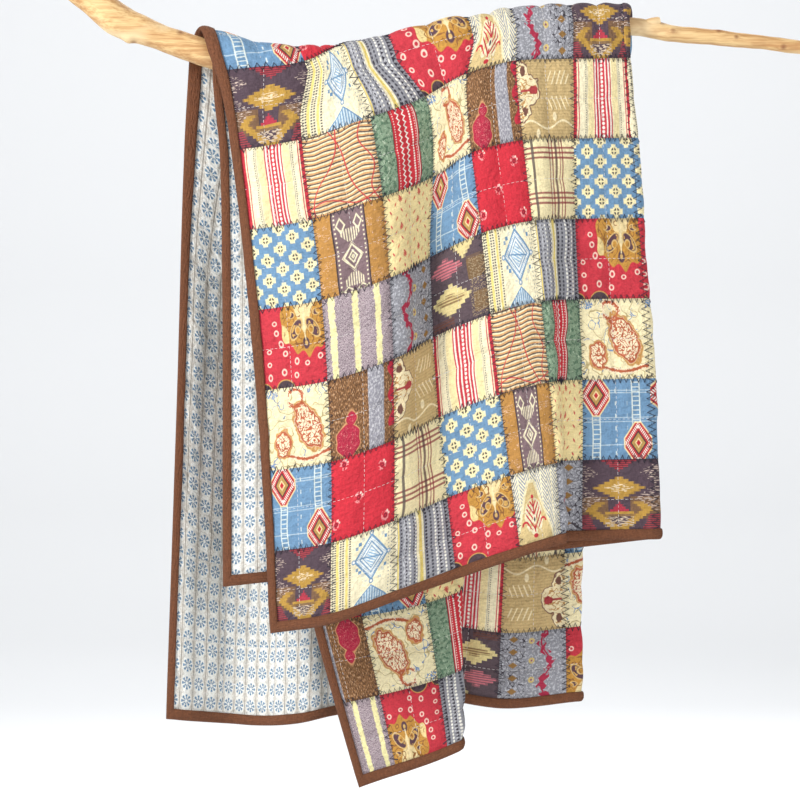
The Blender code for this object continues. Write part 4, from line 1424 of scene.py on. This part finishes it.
cotton = new_material("cotton_wadding", 0.95)
for side in SIDES:
    across, rows = cloth_grid(side, 8)
    column, row = np.meshgrid(across, rows)
    inset_column = BATTING_INSET + column * (1 - 2 * BATTING_INSET / COLUMNS)
    inset_row = row * (1 - BATTING_INSET / HEM_ROW)
    upper = on_cloth(inset_column, inset_row, BATTING_HALF, BATTING_HALF).reshape(-1, 3)
    lower = on_cloth(inset_column, inset_row, -BATTING_HALF, -BATTING_HALF).reshape(-1, 3)
    faces = grid_faces(len(rows), len(across))
    rim = np.concatenate(
        [
            np.arange(len(across)),
            np.arange(1, len(rows)) * len(across) + len(across) - 1,
            np.arange(len(across) - 2, -1, -1) + (len(rows) - 1) * len(across),
            np.arange(len(rows) - 2, 0, -1) * len(across),
        ]
    )
    after = np.roll(rim, -1)
    wall = np.stack([rim, after, after + len(upper), rim + len(upper)], axis=1)
    sheets = [faces[:, ::-1], faces + len(upper), wall]
    batting = mesh_object(side + "_batting", np.concatenate([upper, lower]), sheets, [cotton])
    hang(batting)
    names = [f"{body}_{half}_batting" for body in (side,) for half in ("outer", "inner")]
    if side == "front":
        names += ["ridge_outer_batting", "ridge_inner_batting"]
    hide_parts(*names)


# ---- The binding ---------------------------------------------------------------------------
# A folded strip of brown cotton wrapped round the quilt's edge and stitched down on both
# sides, with mitred corners.

BINDING_STEP = 4.0
# The strip's cross-section: (millimetres in from the edge, height off the middle)
BINDING_SECTION = [
    (12.0, 2.2),
    (11.8, 3.1),
    (10.5, 3.7),
    (7.5, 4.1),
    (4.0, 3.9),
    (1.5, 3.0),
    (-0.2, 1.6),
    (-0.8, 0.0),
    (-0.2, -1.5),
    (1.5, -2.8),
    (4.0, -3.5),
    (7.5, -3.8),
    (10.5, -3.5),
    (11.8, -3.0),
    (12.0, -2.1),
]


def brown_cotton():
    p = Print("brown_cotton", (126, 76, 46))
    p.lay((112, 66, 40), p.noise(40, 6, seed=2) * 0.12, strength=0.6)
    return p.done(1.4)


brown = brown_cotton()


def edge_run(start, end, inward):
    """Places along one straight edge, in patches, with the way in from it."""
    length = np.hypot((end[0] - start[0]) * PATCH_WIDTH, (end[1] - start[1]) * PATCH_HEIGHT)
    share = np.linspace(0, 1, round(length / BINDING_STEP) + 1)[:, None]
    places = np.array(start) * (1 - share) + np.array(end) * share
    return places, np.broadcast_to(inward, places.shape)


def binding_strip(side):
    first, last = SIDES[side][:2]
    ridge, hem = (first, last) if side == "front" else (last, first)
    up = -1.0 if side == "front" else 1.0
    corner = np.array([BINDING_WIDTH / PATCH_WIDTH, BINDING_WIDTH / PATCH_HEIGHT])
    runs = [
        edge_run((0, ridge), (0, hem + up * corner[1]), (1, 0)),
        edge_run((0, hem), (0, hem), (1, up)),
        edge_run((corner[0], hem), (COLUMNS - corner[0], hem), (0, up)),
        edge_run((COLUMNS, hem), (COLUMNS, hem), (-1, up)),
        edge_run((COLUMNS, hem + up * corner[1]), (COLUMNS, ridge), (-1, 0)),
    ]
    places = np.concatenate([r[0] for r in runs])
    inward = np.concatenate([r[1] for r in runs])
    size = np.array([PATCH_WIDTH, PATCH_HEIGHT])
    edge, normal = hung(*places.T)
    outward = edge - hung(*(places + inward * 3.0 / size).T)[0]
    outward /= np.linalg.norm(outward, axis=1, keepdims=True)
    stretch = np.linalg.norm(inward, axis=1, keepdims=True)
    distance = np.cumsum(np.r_[0, np.linalg.norm(np.diff(edge, axis=0), axis=1)])
    pucker = 0.22 * wandering(distance, distance * 0, 21, 3.0)
    sections = []
    for k, (depth, height) in enumerate(BINDING_SECTION):
        height = height + np.sign(height) * pucker[:, None]
        if depth > 0:
            base, lean = hung(*(places + inward * depth / size).T)
        else:
            base, lean = edge - outward * depth * stretch, normal
        sections.append(base + lean * height)
    points = np.stack(sections, axis=1) * MM + VIEW_MIDDLE
    across = np.linspace(0, 1, len(BINDING_SECTION))
    uv = np.stack(np.broadcast_arrays(distance[:, None] / 95, across[None]), axis=-1)
    faces = grid_faces(*points.shape[:2])
    if side == "rear":
        faces = faces[:, ::-1]
    return mesh_object(side + "_binding", points.reshape(-1, 3), [faces], [brown], uv.reshape(-1, 2))


for side in SIDES:
    binding = binding_strip(side)
    hang(binding)
    names = [f"{side}_{half}_{edge}_binding" for half in ("outer", "inner") for edge in ("side", "hem")]
    if side == "front":
        names += ["ridge_outer_side_binding", "ridge_inner_side_binding"]
    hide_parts(*names)

# ---- The zigzag embroidery -----------------------------------------------------------------
# Navy thread machine-stitched in a zigzag over every seam between patches, through the top.

ZIGZAG_STEP = 4.1
ZIGZAG_HALF_WIDTH = 4.5
NAVY_RADIUS = 0.78


def seam_lines(side, lines_to_patch, skip_seams=False):
    """The lines along columns and along rows on one side, as places counted in patches."""
    first, last = SIDES[side]
    gap = 1 / lines_to_patch
    lines = []
    for column in np.arange(gap, COLUMNS - 0.1, gap):
        if not (skip_seams and column == round(column)):
            row = np.arange(first, last - 0.1, ZIGZAG_STEP / PATCH_HEIGHT)
            if side == "rear":
                row = row[row > first + 0.13]
            lines.append((np.full(len(row), column), row, (1, 0)))
    for row in np.arange(first, last - 0.01, gap):
        if abs(row) < HEM_ROW and not (skip_seams and row == round(row)):
            column = np.arange(0.13, COLUMNS - 0.13, ZIGZAG_STEP / PATCH_WIDTH)
            lines.append((column, np.full(len(column), row), (0, 1)))
    return lines


def line_mesh(name, lines, lifts):
    """Loose edges along the lines, with the way across the line kept on each point."""
    points, sideways, edges, count = [], [], [], 0
    for column, row, (aside, below) in lines:
        points.append(on_cloth(column, row, *lifts))
        ahead = hung(column + aside * 0.02, row + below * 0.02)[0]
        across = ahead - hung(column - aside * 0.02, row - below * 0.02)[0]
        sideways.append(across / np.linalg.norm(across, axis=1, keepdims=True) * MM)
        run = np.arange(count, count + len(column) - 1)
        edges.append(np.stack([run, run + 1], axis=1))
        count += len(column)
    mesh = bpy.data.meshes.new(name)
    edges = np.concatenate(edges)
    mesh.vertices.add(count)
    mesh.vertices.foreach_set("co", np.concatenate(points).astype(np.float32).ravel())
    mesh.edges.add(len(edges))
    mesh.edges.foreach_set("vertices", edges.astype(np.int32).ravel())
    sides = mesh.attributes.new("sideways", "FLOAT_VECTOR", "POINT")
    sides.data.foreach_set("vector", np.concatenate(sideways).astype(np.float32).ravel())
    made = bpy.data.objects.new(name, mesh)
    bpy.context.scene.collection.objects.link(made)
    return made


def node_tree(name, inputs):
    """A Geometry Nodes tree with one geometry in, one out and named inputs."""
    tree = bpy.data.node_groups.new(name, "GeometryNodeTree")
    tree.interface.new_socket("Geometry", in_out="INPUT", socket_type="NodeSocketGeometry")
    tree.interface.new_socket("Geometry", in_out="OUTPUT", socket_type="NodeSocketGeometry")
    for label, kind in inputs.items():
        tree.interface.new_socket(label, in_out="INPUT", socket_type="NodeSocket" + kind)
    return tree, tree.nodes.new("NodeGroupInput"), tree.nodes.new("NodeGroupOutput")


def finish_tree(tree, start, end, geometry):
    """Ends a tree with Realize Instances and Set Material."""
    whole = tree.nodes.new("GeometryNodeRealizeInstances")
    painted = tree.nodes.new("GeometryNodeSetMaterial")
    tree.links.new(geometry, whole.inputs[0])
    tree.links.new(whole.outputs[0], painted.inputs["Geometry"])
    tree.links.new(start.outputs["Material"], painted.inputs["Material"])
    tree.links.new(painted.outputs[0], end.inputs[0])


def grown(obj, tree, values):
    """Runs a tree on an object once, and keeps what it makes as a plain mesh."""
    modifier = obj.modifiers.new(tree.name, "NODES")
    modifier.node_group = tree
    for item in tree.interface.items_tree:
        if item.in_out == "INPUT" and item.name in values:
            modifier[item.identifier] = values[item.name]
    obj.update_tag()
    settled = obj.evaluated_get(bpy.context.evaluated_depsgraph_get())
    mesh = bpy.data.meshes.new_from_object(settled)
    obj.modifiers.clear()
    obj.data = mesh
    mesh.polygons.foreach_set("use_smooth", np.ones(len(mesh.polygons), bool))
    return obj


def zigzag_tree():
    """Moves every other point to the line's other side and runs a thread through them."""
    inputs = {"Half Width": "Float", "Thread Radius": "Float", "Material": "Material"}
    tree, start, end = node_tree("zigzag_thread", inputs)
    add = tree.nodes.new
    index, odd, sign, wide = add("GeometryNodeInputIndex"), *(add("ShaderNodeMath") for _ in range(3))
    odd.operation, sign.operation, wide.operation = "MODULO", "MULTIPLY_ADD", "MULTIPLY"
    odd.inputs[1].default_value = 2
    sign.inputs[1].default_value, sign.inputs[2].default_value = 2, -1
    sideways, aside = add("GeometryNodeInputNamedAttribute"), add("ShaderNodeVectorMath")
    sideways.data_type, aside.operation = "FLOAT_VECTOR", "SCALE"
    sideways.inputs["Name"].default_value = "sideways"
    move, curve = add("GeometryNodeSetPosition"), add("GeometryNodeMeshToCurve")
    ring, thread = add("GeometryNodeCurvePrimitiveCircle"), add("GeometryNodeCurveToMesh")
    ring.inputs["Resolution"].default_value = 5
    thread.inputs["Fill Caps"].default_value = True
    for source, target in (
        (index.outputs[0], odd.inputs[0]),
        (odd.outputs[0], sign.inputs[0]),
        (sign.outputs[0], wide.inputs[0]),
        (start.outputs["Half Width"], wide.inputs[1]),
        (sideways.outputs[0], aside.inputs[0]),
        (wide.outputs[0], aside.inputs["Scale"]),
        (aside.outputs[0], move.inputs["Offset"]),
        (start.outputs["Geometry"], move.inputs["Geometry"]),
        (move.outputs[0], curve.inputs[0]),
        (start.outputs["Thread Radius"], ring.inputs["Radius"]),
        (curve.outputs[0], thread.inputs[0]),
        (ring.outputs[0], thread.inputs["Profile Curve"]),
    ):
        tree.links.new(source, target)
    finish_tree(tree, start, end, thread.outputs[0])
    return tree


def spun_thread(name, colour):
    """Twisted thread: its colour shifts a little along it."""
    made = new_material(name, 0.7)
    tree = made.node_tree
    place = tree.nodes.new("ShaderNodeTexCoord").outputs["Object"]
    twist = spots(tree, place, (900, 900, 900), 1)
    dark, light = linear(*colour), linear(*[min(255, c * 1.35 + 8) for c in colour])
    blended = blend_colours(tree, (twist * 2.5 + 0.4).clamped(), dark, light)
    tree.links.new(blended, tree.nodes["Principled BSDF"].inputs["Base Color"])
    return made


navy = spun_thread("navy_thread", (38, 36, 48))
zigzags = zigzag_tree()
for side in SIDES:
    lines = seam_lines(side, 1)
    thread_lift = (PATCHWORK_LIFT[0] + 0.6, PATCHWORK_LIFT[1] + 0.5)
    embroidery = line_mesh(side + "_embroidery", lines, thread_lift)
    values = {"Half Width": ZIGZAG_HALF_WIDTH, "Thread Radius": NAVY_RADIUS * MM, "Material": navy}
    grown(embroidery, zigzags, values)
    hang(embroidery)


# ---- The quilting stitches -----------------------------------------------------------------
# White running stitches through all three layers, half a patch apart both ways.

STITCH_LENGTH = 3.2
STITCH_PITCH = 5.4
STITCH_RADIUS = 0.24


def stitch_tree():
    """Short rods of thread, evenly spaced along every line."""
    inputs = {"Pitch": "Float", "Length": "Float", "Thread Radius": "Float", "Material": "Material"}
    tree, start, end = node_tree("running_stitches", inputs)
    add = tree.nodes.new
    curve, spaced = add("GeometryNodeMeshToCurve"), add("GeometryNodeCurveToPoints")
    rod, placed = add("GeometryNodeMeshCylinder"), add("GeometryNodeInstanceOnPoints")
    spaced.mode = "LENGTH"
    rod.inputs["Vertices"].default_value = 5
    for source, target in (
        (start.outputs["Geometry"], curve.inputs[0]),
        (curve.outputs[0], spaced.inputs[0]),
        (start.outputs["Pitch"], spaced.inputs["Length"]),
        (start.outputs["Thread Radius"], rod.inputs["Radius"]),
        (start.outputs["Length"], rod.inputs["Depth"]),
        (spaced.outputs["Points"], placed.inputs["Points"]),
        (spaced.outputs["Rotation"], placed.inputs["Rotation"]),
        (rod.outputs["Mesh"], placed.inputs["Instance"]),
    ):
        tree.links.new(source, target)
    finish_tree(tree, start, end, placed.outputs[0])
    return tree


white_thread = spun_thread("white_thread", (214, 206, 200))
stitches = stitch_tree()
for side in SIDES:
    faces = (("top", PATCHWORK_LIFT[0] + 0.2, True), ("back", BACKING_LIFT[0] - 0.2, False))
    for face, lift, skip in faces:
        lines = seam_lines(side, 2, skip)
        sewn = line_mesh(f"{side}_{face}_stitches", lines, (lift, lift))
        pitch = STITCH_PITCH if face == "top" else STITCH_PITCH * 1.3
        values = {
            "Pitch": pitch * MM,
            "Length": STITCH_LENGTH * MM,
            "Thread Radius": STITCH_RADIUS * MM,
            "Material": white_thread,
        }
        grown(sewn, stitches, values)
        hang(sewn)


# ---- What lies on what ---------------------------------------------------------------------
# Each cloth was cut to this flat size before it was hung over the branch.

for side in SIDES:
    top = bpy.data.objects[side + "_patchwork"]
    batting = bpy.data.objects[side + "_batting"]
